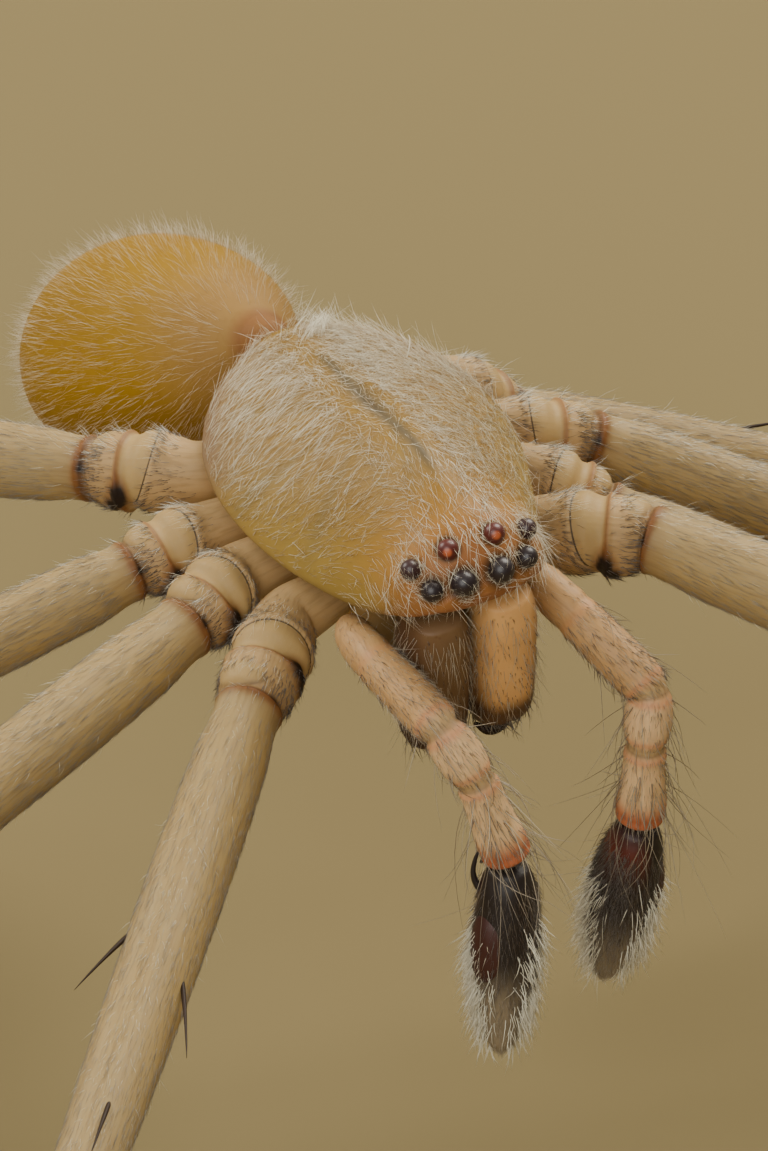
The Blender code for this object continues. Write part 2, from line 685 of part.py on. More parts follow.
def leg_joints(side, number):
    """The leg's joints in the world, with the knee bent just enough to set the sole on the floor."""
    coxa_out, coxa_rise, coxa_length, *rest = LEG_DIRECTIONS[side, number]
    femur_out, femur_rise, tibia_turn, foot_turn = rest
    flip = np.array([1.0 if side == "left" else -1.0, 1.0, 1.0])
    femur, patella, tibia, metatarsus, tarsus = LEG_LENGTHS[number]
    socket, leave = placed([np.array(SOCKETS[number]) * flip, np.array(COXA_PLACES[number]) * flip])
    coxa = turned(heading(side, coxa_out, coxa_rise))
    hinge = leave + TROCHANTER_STARTS * coxa_length * coxa
    start = leave + coxa_length * coxa
    thigh = turned(heading(side, femur_out, femur_rise))
    knee = start + femur * thigh
    bearing, rise = compass(thigh)
    spin = -1.0 if side == "right" else 1.0
    tibia_bearing = bearing + spin * math.radians(tibia_turn)
    foot_bearing = tibia_bearing + spin * math.radians(foot_turn)
    sole_height = SOLE_SHARE * TARSUS_FLAT[0][2] * LEG_THICKNESS[number]

    def outline(drop):
        shin = knee + patella * towards((bearing + tibia_bearing) / 2, (rise + drop) / 2)
        ankle = shin + tibia * towards(tibia_bearing, drop)
        wrist = ankle + metatarsus * towards(foot_bearing, drop - math.radians(METATARSUS_DIP_DEG))
        slope = wrist + tarsus * (1 - TARSUS_FLAT_SHARE) * towards(foot_bearing, TARSUS_DROP_SHARE * drop)
        tip = slope + tarsus * TARSUS_FLAT_SHARE * towards(foot_bearing, 0.0)
        return [shin, ankle, wrist, slope, tip]

    low, high = math.radians(-80), math.radians(30)
    for _ in range(60):
        drop = (low + high) / 2
        if outline(drop)[-1][2] > sole_height:
            high = drop
        else:
            low = drop
    return [socket, leave, hinge, start, knee, *outline(drop)]


def spine(start, end, table, side, scale, place):
    """A tapered spine rooted in a limb segment and leaning towards its far end."""
    share, around_deg, length = place
    along = unit(end - start)
    across = unit(np.cross(along, UP))
    lift = np.cross(across, along)
    if side == "right":
        across = -across
    stations = np.array(table) * np.array([1.0, scale, scale])
    wide = np.interp(share, stations[:, 0], stations[:, 1])
    tall = np.interp(share, stations[:, 0], stations[:, 2])
    angle = math.radians(around_deg)
    core = start + share * (end - start)
    skin = core + math.cos(angle) * wide * across + math.sin(angle) * tall * lift
    out = math.cos(angle) * across + math.sin(angle) * lift
    lean = math.radians(SPINE_LEAN_DEG)
    stand = math.sin(lean) * out + math.cos(lean) * along
    middle = skin + SPINE_MIDDLE_SHARE * length * stand
    end = skin + length * (stand + SPINE_SWEEP * along)
    line = [skin - SPINE_SUNK * stand, middle, end]
    return horn(line, SPINE_HALF, SPINE_SIDES)


def spines(start, end, table, side, scale, places, chance):
    """One spine for each place in the list, each moved, turned and lengthened a little."""
    varied = np.array(places) + chance.uniform(-1, 1, (len(places), 3)) * SPINE_VARIES
    return [spine(start, end, table, side, scale, place) for place in varied]


def claws(joints):
    """Two small hooks ahead of the foot's tip."""
    tip = joints[-1]
    along = unit((joints[-1] - joints[-2]) * np.array([1.0, 1.0, 0.0]))
    across = np.cross(along, UP)
    floor = tip * np.array([1.0, 1.0, 0.0])
    made = []
    for sign in (-1.0, 1.0):
        line = [floor + ahead * along + sign * out * across + height * UP for ahead, out, height in CLAW]
        made.append(horn(line, CLAW_HALF, CLAW_SIDES))
    return made


def make_legs():
    chance = np.random.default_rng(SPINE_SEED)
    for side, number in LEG_DIRECTIONS:
        name = f"leg_{number}_{side}"
        scale = LEG_THICKNESS[number]
        joints = leg_joints(side, number)
        upper = ((name + "_base", (COXA_INNER, COXA_OUTER, TROCHANTER)), (name + "_femur", (FEMUR,)))
        lower = (
            (name + "_tibia", (PATELLA, TIBIA)),
            (name + "_foot", (METATARSUS, TARSUS_SLOPE, TARSUS_FLAT)),
        )
        rings = limb(joints, upper + lower, UP, LEG_SIDES, scale)
        start, knee, shin, ankle, wrist = joints[3:8]
        on_femur = spines(start, knee, FEMUR, side, scale, FEMUR_SPINES, chance)
        on_tibia = spines(shin, ankle, TIBIA, side, scale, TIBIA_SPINES, chance)
        on_foot = spines(ankle, wrist, METATARSUS, side, scale, METATARSUS_SPINES, chance)
        foot = rings[name + "_foot"]
        foot[..., 2] = np.maximum(foot[..., 2], 0.0)
        solid(name + "_base", rings[name + "_base"], "leg_joint")
        fused(name + "_femur", rings[name + "_femur"], on_femur, "leg")
        fused(name + "_tibia", rings[name + "_tibia"], on_tibia, "leg")
        fused(name + "_foot", foot, on_foot + claws(joints), "leg")


def main():
    clear_scene()
    carapace = make_prosoma()
    make_chelicerae()
    make_eyes(carapace)
    make_abdomen()
    make_palps()
    make_legs()


main()
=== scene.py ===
"""A male yellow sac spider at life size: skins, lenses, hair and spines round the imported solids.

Sizes are millimetres until a mesh is filled. The body has its own frame: the nose looks along -Y, the
spider's left is +X. Every skin is a grid of points: rows run along the limb or body, columns round it.
"""

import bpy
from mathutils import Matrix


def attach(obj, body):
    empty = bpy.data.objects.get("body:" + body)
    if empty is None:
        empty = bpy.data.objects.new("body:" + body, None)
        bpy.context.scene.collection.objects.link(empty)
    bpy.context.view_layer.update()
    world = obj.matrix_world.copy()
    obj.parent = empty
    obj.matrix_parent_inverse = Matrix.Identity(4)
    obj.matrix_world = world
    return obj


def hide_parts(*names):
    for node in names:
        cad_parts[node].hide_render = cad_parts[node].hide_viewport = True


bl_info = {
    "name": "Yellow Sac Spider",
    "version": (1, 0, 0),
    "blender": (4, 5, 0),
    "location": "View3D > Sidebar > Spider",
    "description": "Dresses a life-size spider with skins, lenses, hair and spines",
    "category": "Add Mesh",
}

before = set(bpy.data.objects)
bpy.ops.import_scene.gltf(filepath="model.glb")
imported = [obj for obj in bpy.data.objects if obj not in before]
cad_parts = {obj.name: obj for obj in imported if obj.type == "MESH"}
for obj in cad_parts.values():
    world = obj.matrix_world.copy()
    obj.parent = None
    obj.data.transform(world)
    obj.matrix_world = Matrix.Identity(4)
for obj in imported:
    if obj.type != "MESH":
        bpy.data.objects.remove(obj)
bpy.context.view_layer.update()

import math

import bpy
import numpy as np

MM = 0.001
UP = np.array([0.0, 0.0, 1.0])
SIDES = {"right": -1.0, "left": 1.0}

# How the body stands over the floor
NOSE_DOWN_DEG = 12.0
LEFT_UP_DEG = 5.57
BODY_AT = (0.62, 1.04, 4.4)

# Carapace: place along the body, half width, rim height, top height, how steep the arch is
CARAPACE = (
    (-1.52, 0.26, 0.31, 0.43, 0.9),
    (-1.46, 0.36, 0.26, 0.52, 0.9),
    (-1.34, 0.45, 0.18, 0.61, 0.9),
    (-1.12, 0.53, 0.03, 0.66, 1.1),
    (-0.75, 0.68, -0.08, 0.69, 1.4),
    (-0.25, 0.82, -0.15, 0.51, 1.5),
    (0.20, 0.83, -0.21, 0.29, 1.5),
    (0.56, 0.73, -0.27, 0.12, 1.5),
    (0.84, 0.54, -0.29, -0.03, 1.4),
    (1.00, 0.34, -0.31, -0.14, 1.2),
    (1.08, 0.19, -0.32, -0.21, 1.0),
)
CARAPACE_ROWS = 150
CARAPACE_TOP_COLUMNS = 150
CARAPACE_BELLY_COLUMNS = 30
CARAPACE_BELLY = 0.05
CARAPACE_END_ROWS = 9
# How far the front and the rear end bulge out
CARAPACE_BULGES = (-0.035, 0.03)
FOVEA_Y = -0.10
FOVEA_DEPTH = 0.05
FOVEA_LENGTH = 0.34
FOVEA_WIDTH = 0.07
SLIT_DEPTH = 0.02
SLIT_LENGTH = 0.16
SLIT_WIDTH = 0.018
RAYS_DEPTH = 0.008

# Sternum block under the carapace: place along the body, half width
STERNUM = ((-0.78, 0.14), (-0.62, 0.34), (-0.25, 0.45), (0.20, 0.46), (0.62, 0.38), (0.92, 0.16))
STERNUM_TOP = -0.36
STERNUM_BOTTOM = -0.82
SIDES_LINE = ((0.0, -0.95, -0.20), (0.0, 0.0, -0.30), (0.0, 0.95, -0.38))

# Mouth parts: root, tip and half thicknesses on the left side
ENDITE = ((0.33, -0.70, -0.56), (0.17, -0.97, -0.90), (0.115, 0.085))
LABIUM = ((0.0, -0.80, -0.70), (0.0, -0.93, -0.86), (0.10, 0.055))

# Chelicerae: height, half width, half depth, how far the section stands forward
CHELICERA_X = 0.200
CHELICERA_ROUND = 0.78
CHELICERA_Y = -1.29
CHELICERA = (
    (0.08, 0.140, 0.150, 0.03),
    (-0.02, 0.175, 0.185, 0.02),
    (-0.18, 0.194, 0.212, 0.01),
    (-0.40, 0.195, 0.212, 0.00),
    (-0.66, 0.194, 0.200, 0.00),
    (-0.84, 0.186, 0.186, 0.00),
    (-0.93, 0.174, 0.165, 0.00),
    (-0.97, 0.150, 0.140, 0.00),
)
FANG = ((0.245, -1.31, -0.98), (0.19, -1.350, -1.045), (0.11, -1.36, -1.06), (0.05, -1.31, -1.03))
FANG_HALF = (0.050, 0.046, 0.032, 0.010)

# Eyes: distance from the midline, place along the body, height, lens radius
EYES = {
    "front_median": (0.106, -1.487, 0.443, 0.073),
    "rear_median": (0.133, -1.350, 0.590, 0.060),
    "front_lateral": (0.262, -1.435, 0.420, 0.061),
    "rear_lateral": (0.298, -1.310, 0.455, 0.058),
}
EYE_SUNK = 0.50

# Pedicel, abdomen and spinnerets
PEDICEL_FRONT = (0.0, 0.97, -0.50)
ABDOMEN_ROOT = (-0.025, 1.27, -0.49)
ABDOMEN_DIRECTION = (-0.158, 0.680, -0.717)
ABDOMEN_LENGTH = 2.65
ABDOMEN = (
    (0.0, 0.16),
    (0.03, 0.22),
    (0.10, 0.35),
    (0.22, 0.51),
    (0.38, 0.64),
    (0.56, 0.69),
    (0.74, 0.61),
    (0.88, 0.43),
    (0.97, 0.25),
    (1.0, 0.17),
)
SPINNERETS_GAP = 0.05
SPINNERETS_HALF = 0.15
SPINNERETS_BASE = ((0.0, 0.95), (0.3, 1.0), (1.0, 0.8))
SPINNERETS_BASE_LENGTH = 0.10
# Pairs of cones: out and up from the middle, length, half thickness; then share of each along one
SPINNERETS = ((0.078, -0.055, 0.17, 0.052), (0.082, 0.050, 0.25, 0.040), (0.028, -0.005, 0.13, 0.024))
SPINNERET_CONE = ((0.0, 0.95), (0.35, 1.0), (0.7, 0.85), (0.93, 0.6), (1.0, 0.15))

# Palps: joints in the body frame, from the mouth parts to the tip
PALP_JOINTS = {
    "right": (
        (-0.50, -0.88, -0.40),
        (-0.537, -1.04, -0.31),
        (-0.537, -1.28, -0.228),
        (-0.432, -1.90, -0.184),
        (-0.320, -2.114, -0.438),
        (-0.215, -2.318, -0.951),
        (-0.440, -2.690, -2.09),
    ),
    "left": (
        (0.50, -0.88, -0.40),
        (0.545, -1.04, -0.335),
        (0.66, -1.28, -0.42),
        (0.895, -1.785, -0.657),
        (0.814, -1.896, -0.966),
        (0.751, -1.967, -1.499),
        (0.509, -2.030, -2.677),
    ),
}
# How much thinner each limb is at its joints
PALP_PINCHES = (0.05, 0.05, 0.15, 0.16)
LEG_PINCHES = (0.10, 0.08, 0.12, 0.10)
PALP_TOOTH = ((-0.10, 0.06), (-0.03, 0.115), (0.03, 0.155))
PALP_TOOTH_HALF = (0.034, 0.026, 0.006)
PALP_SPUR = ((0.22, 0.10), (0.17, 0.165), (0.09, 0.192), (0.0, 0.182), (-0.06, 0.158))
PALP_SPUR_HALF = (0.030, 0.022, 0.015, 0.011, 0.005)
BULB = ((0.20, 0.05), (0.30, 0.115), (0.42, 0.130), (0.54, 0.115), (0.64, 0.05))
BULB_OFFSET = 0.085

# Legs: lengths of femur, patella, tibia, metatarsus and tarsus
LEG_LENGTHS = {
    1: (3.70, 1.15, 4.00, 3.90, 1.35),
    2: (3.20, 1.05, 3.30, 3.40, 1.10),
    3: (2.45, 0.85, 2.15, 2.40, 0.85),
    4: (3.10, 0.95, 2.70, 3.30, 0.95),
}
LEG_THICKNESS = {1: 1.0, 2: 0.98, 3: 0.90, 4: 0.96}
SOCKETS = {
    1: (0.43, -0.53, -0.50),
    2: (0.50, -0.17, -0.50),
    3: (0.50, 0.19, -0.55),
    4: (0.42, 0.55, -0.55),
}
COXA_PLACES = {
    1: (0.75, -0.60, -0.50),
    2: (0.85, -0.20, -0.50),
    3: (0.85, 0.20, -0.56),
    4: (0.75, 0.60, -0.56),
}
# Outward angle from straight ahead and rise of the coxa, its length, then angle and rise of the
# femur, and how far tibia and metatarsus turn on from it, all in degrees
LEG_DIRECTIONS = {
    ("right", 1): (43.0, 0.0, 0.66, 40.0, 0.0, -4.0, -6.0),
    ("right", 2): (63.0, 0.0, 0.46, 68.0, 0.0, 5.0, 3.0),
    ("right", 3): (86.0, -6.0, 0.48, 86.0, -6.0, 4.0, 8.0),
    ("right", 4): (133.0, -16.0, 0.61, 138.0, -17.0, 8.0, 5.0),
    ("left", 1): (60.0, 0.0, 0.63, 36.5, 0.5, 2.0, -5.0),
    ("left", 2): (52.0, -24.0, 0.50, 46.0, -14.0, 9.0, 6.0),
    ("left", 3): (75.0, -18.0, 0.58, 62.0, -26.0, 16.0, 12.0),
    ("left", 4): (90.0, -50.0, 0.56, 77.0, -29.0, 36.0, 20.0),
}
TROCHANTER_STARTS = 0.52
METATARSUS_DIP_DEG = 7.0
TARSUS_FLAT_SHARE = 0.3
TARSUS_DROP_SHARE = 0.6
SOLE_SHARE = 0.55
SOLE_HALF = 0.098

# Section tables of each segment in turn: share of the segment, half width, half height
LEG_SECTIONS = (
    ((0.0, 0.135, 0.155), (0.55, 0.155, 0.185)),
    ((0.0, 0.175, 0.205), (0.5, 0.215, 0.235), (0.85, 0.225, 0.240)),
    ((0.1, 0.205, 0.212), (0.3, 0.222, 0.229), (0.6, 0.222, 0.226), (0.92, 0.195, 0.200)),
    ((0.02, 0.185, 0.192), (0.10, 0.205, 0.215), (0.28, 0.222, 0.230), (0.55, 0.218, 0.224),
     (0.80, 0.200, 0.208), (0.97, 0.184, 0.194)),
    ((0.12, 0.176, 0.190), (0.60, 0.182, 0.192), (0.92, 0.172, 0.180)),
    ((0.05, 0.170, 0.175), (0.35, 0.170, 0.175), (0.75, 0.156, 0.160), (0.97, 0.150, 0.155)),
    ((0.04, 0.138, 0.142), (0.45, 0.130, 0.134), (0.97, 0.120, 0.122)),
    ((0.06, 0.112, 0.115), (0.5, 0.110, 0.112), (0.98, 0.100, 0.100)),
    ((0.55, 0.098, 0.098), (0.9, 0.086, 0.080), (0.97, 0.064, 0.058), (1.0, 0.030, 0.030)),
)
PALP_SECTIONS = (
    ((0.0, 0.085, 0.085), (0.5, 0.105, 0.105)),
    ((0.0, 0.115, 0.115), (0.5, 0.122, 0.125)),
    ((0.04, 0.128, 0.132), (0.35, 0.132, 0.138), (0.75, 0.135, 0.142), (0.93, 0.130, 0.135)),
    ((0.08, 0.118, 0.122), (0.3, 0.132, 0.137), (0.65, 0.135, 0.138), (0.92, 0.118, 0.122)),
    ((0.16, 0.118, 0.120), (0.5, 0.128, 0.130), (0.85, 0.138, 0.142), (0.96, 0.122, 0.126),
     (1.0, 0.080, 0.080)),
)
CYMBIUM = (
    (0.0, 0.060, 0.060),
    (0.02, 0.110, 0.110),
    (0.06, 0.140, 0.140),
    (0.22, 0.185, 0.175),
    (0.45, 0.200, 0.190),
    (0.68, 0.175, 0.160),
    (0.86, 0.120, 0.110),
    (0.96, 0.070, 0.065),
    (1.0, 0.020, 0.020),
)

# Spines of each leg: share of the segment, degrees round it from its front over the top, length
FEMUR_SPINES = ((0.48, 152.0, 0.38), (0.57, 28.0, 0.44), (0.84, 70.0, 0.38))
TIBIA_SPINES = (
    (0.18, -50.0, 0.42),
    (0.24, -130.0, 0.42),
    (0.40, 10.0, 0.40),
    (0.52, -52.0, 0.44),
    (0.60, -128.0, 0.44),
    (0.76, 172.0, 0.38),
)
METATARSUS_SPINES = ((0.08, -48.0, 0.40), (0.11, -132.0, 0.40), (0.38, 0.0, 0.34), (0.46, -96.0, 0.36))
SPINE_LEAN_DEG = 22.0
SPINE_HALF = 0.0125
SPINE_ROOT = 0.06
SPINE_LONGER = 1.1
SPINE_SWEEP = 0.12
SPINE_VARIES = (0.02, 7.0, 0.04)
# Along a spine: share of its length, share of its half thickness
SPINE_SHAPE = ((0.12, 1.1), (0.45, 0.75), (0.8, 0.42), (1.0, 0.12))
# The segments of a leg that carry spines
SPINES = {3: FEMUR_SPINES, 5: TIBIA_SPINES, 6: METATARSUS_SPINES}
CLAW = ((-0.06, 0.026, 0.055), (0.035, 0.034, 0.095), (0.085, 0.036, 0.075), (0.105, 0.036, 0.030))
CLAW_HALF = (0.018, 0.017, 0.012, 0.005)

# The camera: bearing and height over the floor, the point it looks at and what its frame covers
CAMERA_AZIMUTH_DEG = -25.62
CAMERA_ELEVATION_DEG = 36.78
CAMERA_LOOKS_AT = (0.5212, 0.5930, 3.8037)
CAMERA_AWAY = 100.0
FRAME_TALL = 6.324
SENSOR = 36.0

# The lights: property and share of its strength, distance, direction in shares of level back, back,
# up and right of the camera, width, colour
LIGHTS = (
    ("Back light", "back_light", 1.0, 0.09, (-1.0, 0.0, 0.9, 0.5), 0.06, (1.0, 0.95, 0.84)),
    ("Side light", "back_light", 0.5, 0.09, (-0.6, 0.0, 0.7, -1.0), 0.05, (1.0, 0.96, 0.88)),
    ("Front light", "front_light", 1.0, 0.11, (0.0, 1.0, 0.1, -0.2), 0.10, (1.0, 1.0, 0.96)),
)
ROOM_COLOUR = (0.98, 1.0, 0.93, 1.0)

# Where the black knob of each leg base sits, in degrees from its front over the top
KNOB_DEG = {"right": (20.0, 4.0, -6.0, -6.0), "left": (-14.0, -14.0, -14.0, -14.0)}
# The dark arc of each leg base: its reach in millimetres as a mask, and how narrow the line is in it
ARC_REACH = 0.1
ARC_SHARP = 230.0
STREAK_DRAWN_OUT = 0.035

# Rows along each skin and columns round it; the abdomen has rows of its waist as well
LEG_COLUMNS = 48
PALP_COLUMNS = 40
CYMBIUM_GRID = (70, 56)
CHELICERA_GRID = (70, 56)
LENS_GRID = (16, 28)
ROD_GRID = (26, 28)
STERNUM_GRID = (60, 64)
SIDES_GRID = (50, 48)
ABDOMEN_GRID = (110, 16, 96)
# Skins are this much slimmer than their tables, and stay this high over the floor
SKIN_SHARE = 0.985
SKIN_OVER_FLOOR = 0.001

# Hairs: their corners, how much thinner the tip is, the size of their patch in the hair map
HAIR_CORNERS = 3
HAIR_TAPER = 0.75
HAIR_PATCH = 0.003
HAIR_OVER_FLOOR = 0.002
# How deep a hair's root sits at most, and as a share of how far its tip rises
SUNK = 0.012
ROOT_SHARE = 0.25
LONE_HAIR_AT = (0.50, 0.47, 0.10)
SEEDS = {
    "carapace": 11,
    "eyes": 12,
    "underside": 13,
    "chelicera_right": 14,
    "chelicera_left": 15,
    "abdomen": 16,
    "palp_right": 21,
    "palp_left": 22,
    "cymbium_right": 23,
    "cymbium_left": 24,
    "spines": 7,
    "legs": 40,
}


def unit(v):
    """Vectors of length 1."""
    v = np.asarray(v, float)
    return v / np.maximum(np.linalg.norm(v, axis=-1, keepdims=True), 1e-12)


def step(low, high, value):
    """0 below low, 1 above high, 3t^2 - 2t^3 between."""
    t = np.clip((value - low) / (high - low), 0.0, 1.0)
    return t * t * (3 - 2 * t)


def bell(value, width):
    """1 in the middle, exp(-(value / width)^2) away from it."""
    return np.exp(-((value / width) ** 2))


def around(columns):
    """Evenly spaced angles of a full turn."""
    return 2 * math.pi * np.arange(columns) / columns


def eased(rows):
    """Shares from 0 to 1 that crowd at both ends: 0.5 - 0.5 * cos(pi * t)."""
    return 0.5 - 0.5 * np.cos(np.linspace(0, math.pi, rows))


def squared(columns, power):
    """A ring between oval and square: the powers of cos and sin with their signs kept."""
    angle = around(columns)
    return [np.sign(f(angle)) * np.abs(f(angle)) ** power for f in (np.cos, np.sin)]


def wrapped(degrees):
    """Degrees from -180 to 180."""
    return (degrees + 180) % 360 - 180


def smooth(stations, at):
    """Each column of the table as a cubic curve over the first one, read at the places given."""
    table = np.asarray(stations, float)
    places, values = table[:, 0], table[:, 1:]
    slopes = np.gradient(values, places, axis=0)
    i = np.clip(np.searchsorted(places, at) - 1, 0, len(places) - 2)
    gap = (places[i + 1] - places[i])[:, None]
    t = np.clip((at - places[i])[:, None] / gap, 0.0, 1.0)
    return (
        (2 * t**3 - 3 * t**2 + 1) * values[i]
        + (t**3 - 2 * t**2 + t) * gap * slopes[i]
        + (3 * t**2 - 2 * t**3) * values[i + 1]
        + (t**3 - t**2) * gap * slopes[i + 1]
    )


def body_axes():
    """The world's X, Y and Z as rows, in the body frame: level with the floor after pitch and roll."""
    pitch, roll = math.radians(NOSE_DOWN_DEG), math.radians(LEFT_UP_DEG)
    up = np.array([math.sin(roll), math.cos(roll) * math.sin(pitch), math.cos(roll) * math.cos(pitch)])
    back = unit(np.array([0.0, 1.0, 0.0]) - up[1] * up)
    return np.array([np.cross(back, up), back, up])


AXES = body_axes()


def placed(points):
    """Body points in the world."""
    return np.asarray(points, float) @ AXES.T + np.array(BODY_AT)


def turned(directions):
    """Body directions in the world."""
    return np.asarray(directions, float) @ AXES.T


def in_body(points):
    """World points back in the body frame."""
    return (np.asarray(points, float) - np.array(BODY_AT)) @ AXES


def heading(side, outward_deg, rise_deg):
    """A direction so far outward from straight ahead, and so far up."""
    outward, rise = math.radians(outward_deg), math.radians(rise_deg)
    flat = math.cos(rise)
    return np.array([SIDES[side] * math.sin(outward) * flat, -math.cos(outward) * flat, math.sin(rise)])


def compass(direction):
    """The bearing and the rise of a direction."""
    flat = math.hypot(direction[0], direction[1])
    return math.atan2(direction[1], direction[0]), math.atan2(direction[2], flat)


def towards(bearing, rise):
    """The direction with this bearing and rise."""
    flat = math.cos(rise)
    return np.array([flat * math.cos(bearing), flat * math.sin(bearing), math.sin(rise)])


def leg_joints(side, number):
    """The leg's joints in the world, with the knee bent just enough to set the sole on the floor."""
    coxa_out, coxa_rise, coxa_length, *rest = LEG_DIRECTIONS[side, number]
    femur_out, femur_rise, tibia_turn, foot_turn = rest
    flip = (SIDES[side], 1.0, 1.0)
    femur, patella, tibia, metatarsus, tarsus = LEG_LENGTHS[number]
    socket, leave = placed([np.array(SOCKETS[number]) * flip, np.array(COXA_PLACES[number]) * flip])
    coxa = turned(heading(side, coxa_out, coxa_rise))
    hinge = leave + TROCHANTER_STARTS * coxa_length * coxa
    start = leave + coxa_length * coxa
    thigh = turned(heading(side, femur_out, femur_rise))
    knee = start + femur * thigh
    bearing, rise = compass(thigh)
    tibia_bearing = bearing + SIDES[side] * math.radians(tibia_turn)
    foot_bearing = tibia_bearing + SIDES[side] * math.radians(foot_turn)
    sole_height = SOLE_SHARE * SOLE_HALF * LEG_THICKNESS[number]

    def outline(drop):
        shin = knee + patella * towards((bearing + tibia_bearing) / 2, (rise + drop) / 2)
        ankle = shin + tibia * towards(tibia_bearing, drop)
        wrist = ankle + metatarsus * towards(foot_bearing, drop - math.radians(METATARSUS_DIP_DEG))
        flat = TARSUS_FLAT_SHARE * tarsus
        slope = wrist + (tarsus - flat) * towards(foot_bearing, TARSUS_DROP_SHARE * drop)
        tip = slope + flat * towards(foot_bearing, 0.0)
        return [shin, ankle, wrist, slope, tip]

    low, high = math.radians(-80), math.radians(30)
    for _ in range(60):
        drop = (low + high) / 2
        if outline(drop)[-1][2] > sole_height:
            high = drop
        else:
            low = drop
    return np.array([socket, leave, hinge, start, knee, *outline(drop)])


def camera_back():
    """The way from what the camera looks at back to the camera."""
    azimuth, elevation = math.radians(CAMERA_AZIMUTH_DEG), math.radians(CAMERA_ELEVATION_DEG)
    flat = math.cos(elevation)
    return np.array([math.sin(azimuth) * flat, -math.cos(azimuth) * flat, math.sin(elevation)])


def with_ends(grid):
    """The points of a grid, and the middle of its first and its last row."""
    return np.vstack([grid.reshape(-1, 3), grid[0].mean(axis=0), grid[-1].mean(axis=0)])


class Skin:
    """A closed surface on a grid of world points: rows run along it, columns go all the way round."""

    def __init__(self, grid):
        self.grid = grid
        along = np.gradient(grid, axis=0)
        sideways = np.roll(grid, -1, axis=1) - np.roll(grid, 1, axis=1)
        normal = np.cross(sideways, along)
        self.outward = np.sum(normal * (grid - grid.mean(axis=1, keepdims=True)), axis=-1).mean() > 0
        self.normal = unit(normal if self.outward else -normal)
        self.along = unit(along)
        self.masks = {}
        self.unrolled = None

    def arrays(self, start=0):
        """Points and faces: a quad between neighbours, and a fan of triangles over each end ring."""
        rows, columns = self.grid.shape[:2]
        points = with_ends(self.grid)
        index = np.arange(rows * columns).reshape(rows, columns)
        right = np.roll(index, -1, axis=1)
        quads = np.stack([index[:-1], right[:-1], right[1:], index[1:]], axis=-1).reshape(-1, 4)
        first = np.stack([np.full(columns, rows * columns), right[0], index[0]], axis=-1)
        last = np.stack([np.full(columns, rows * columns + 1), index[-1], right[-1]], axis=-1)
        faces = [quads, first, last]
        if not self.outward:
            faces = [block[:, ::-1] for block in faces]
        return points, [block + start for block in faces]

    def values(self, name):
        """A mask over the points and the middle of each end. It may be one row, column or number."""
        mask = np.broadcast_to(self.masks.get(name, 0.0), self.grid.shape[:2])
        return np.concatenate([mask.ravel(), [mask[0].mean(), mask[-1].mean()]])

    def scatter(self, count, chance, weight=1.0):
        """Random roots on the skin, as likely by area as the weight says."""
        rows, columns = self.grid.shape[:2]
        right = np.roll(self.grid, -1, axis=1)
        area = np.linalg.norm(np.cross(right[1:] - self.grid[:-1], self.grid[1:] - right[:-1]), axis=-1)
        weight = np.broadcast_to(weight, (rows, columns))
        odds = (area * np.maximum(weight[:-1], 0.0)).ravel()
        pick = chance.choice(odds.size, int(count), p=odds / odds.sum())
        row, column = np.divmod(pick, columns)
        return Roots(self, row, column, *chance.random((2, int(count))))


class Roots:
    """Places on a skin: their points, normals and shares along and round it."""

    def __init__(self, skin, row, column, s, t):
        self.skin, self.row, self.column, self.s, self.t = skin, row, column, s, t
        self.point = self.read(skin.grid)
        self.normal = unit(self.read(skin.normal))
        self.along = unit(self.read(skin.along))
        rows, columns = skin.grid.shape[:2]
        self.share = (row + s) / (rows - 1)
        self.round = (column + t) / columns
        self.count = len(row)

    def read(self, field):
        """A field of the grid between its points: the mean of the four corners by nearness."""
        columns = field.shape[1]
        beside = (self.column + 1) % columns
        s, t = self.s, self.t
        if field.ndim == 3:
            s, t = s[:, None], t[:, None]
        near = field[self.row, self.column] * (1 - t) + field[self.row, beside] * t
        far = field[self.row + 1, self.column] * (1 - t) + field[self.row + 1, beside] * t
        return near * (1 - s) + far * s


def mesh_of(name, points, blocks):
    """A mesh from arrays: points in millimetres, and blocks of faces with the same corner count."""
    mesh = bpy.data.meshes.new(name)
    mesh.vertices.add(len(points))
    mesh.vertices.foreach_set("co", (points * MM).ravel().astype(np.float32))
    corners = np.concatenate([block.ravel() for block in blocks])
    sizes = np.concatenate([np.full(len(block), block.shape[1]) for block in blocks])
    starts = np.concatenate([[0], np.cumsum(sizes)[:-1]])
    mesh.loops.add(len(corners))
    mesh.loops.foreach_set("vertex_index", corners.astype(np.int32))
    mesh.polygons.add(len(sizes))
    mesh.polygons.foreach_set("loop_start", starts.astype(np.int32))
    mesh.update(calc_edges=True)
    mesh.validate()
    mesh.shade_smooth()
    return mesh


def keep_mask(mesh, name, values):
    """A number for each point, which the finishes read by its name."""
    layer = mesh.attributes.new(name, "FLOAT", "POINT")
    layer.data.foreach_set("value", np.ascontiguousarray(values, dtype=np.float32))


def keep_unrolled(mesh, skins):
    """Each point's place on its limb laid out straight, in millimetres."""
    rows = [with_ends(skin.grid if skin.unrolled is None else skin.unrolled) for skin in skins]
    layer = mesh.attributes.new("unrolled", "FLOAT_VECTOR", "POINT")
    layer.data.foreach_set("vector", np.vstack(rows).ravel().astype(np.float32))


def piece(name, mesh, finish, nodes=()):
    """Puts a finished mesh into the scene as a piece that rides on the spider."""
    mesh.materials.append(look(finish))
    made = bpy.data.objects.new(name, mesh)
    bpy.context.scene.collection.objects.link(made)
    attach(made, "root")
    if nodes:
        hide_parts(*nodes)


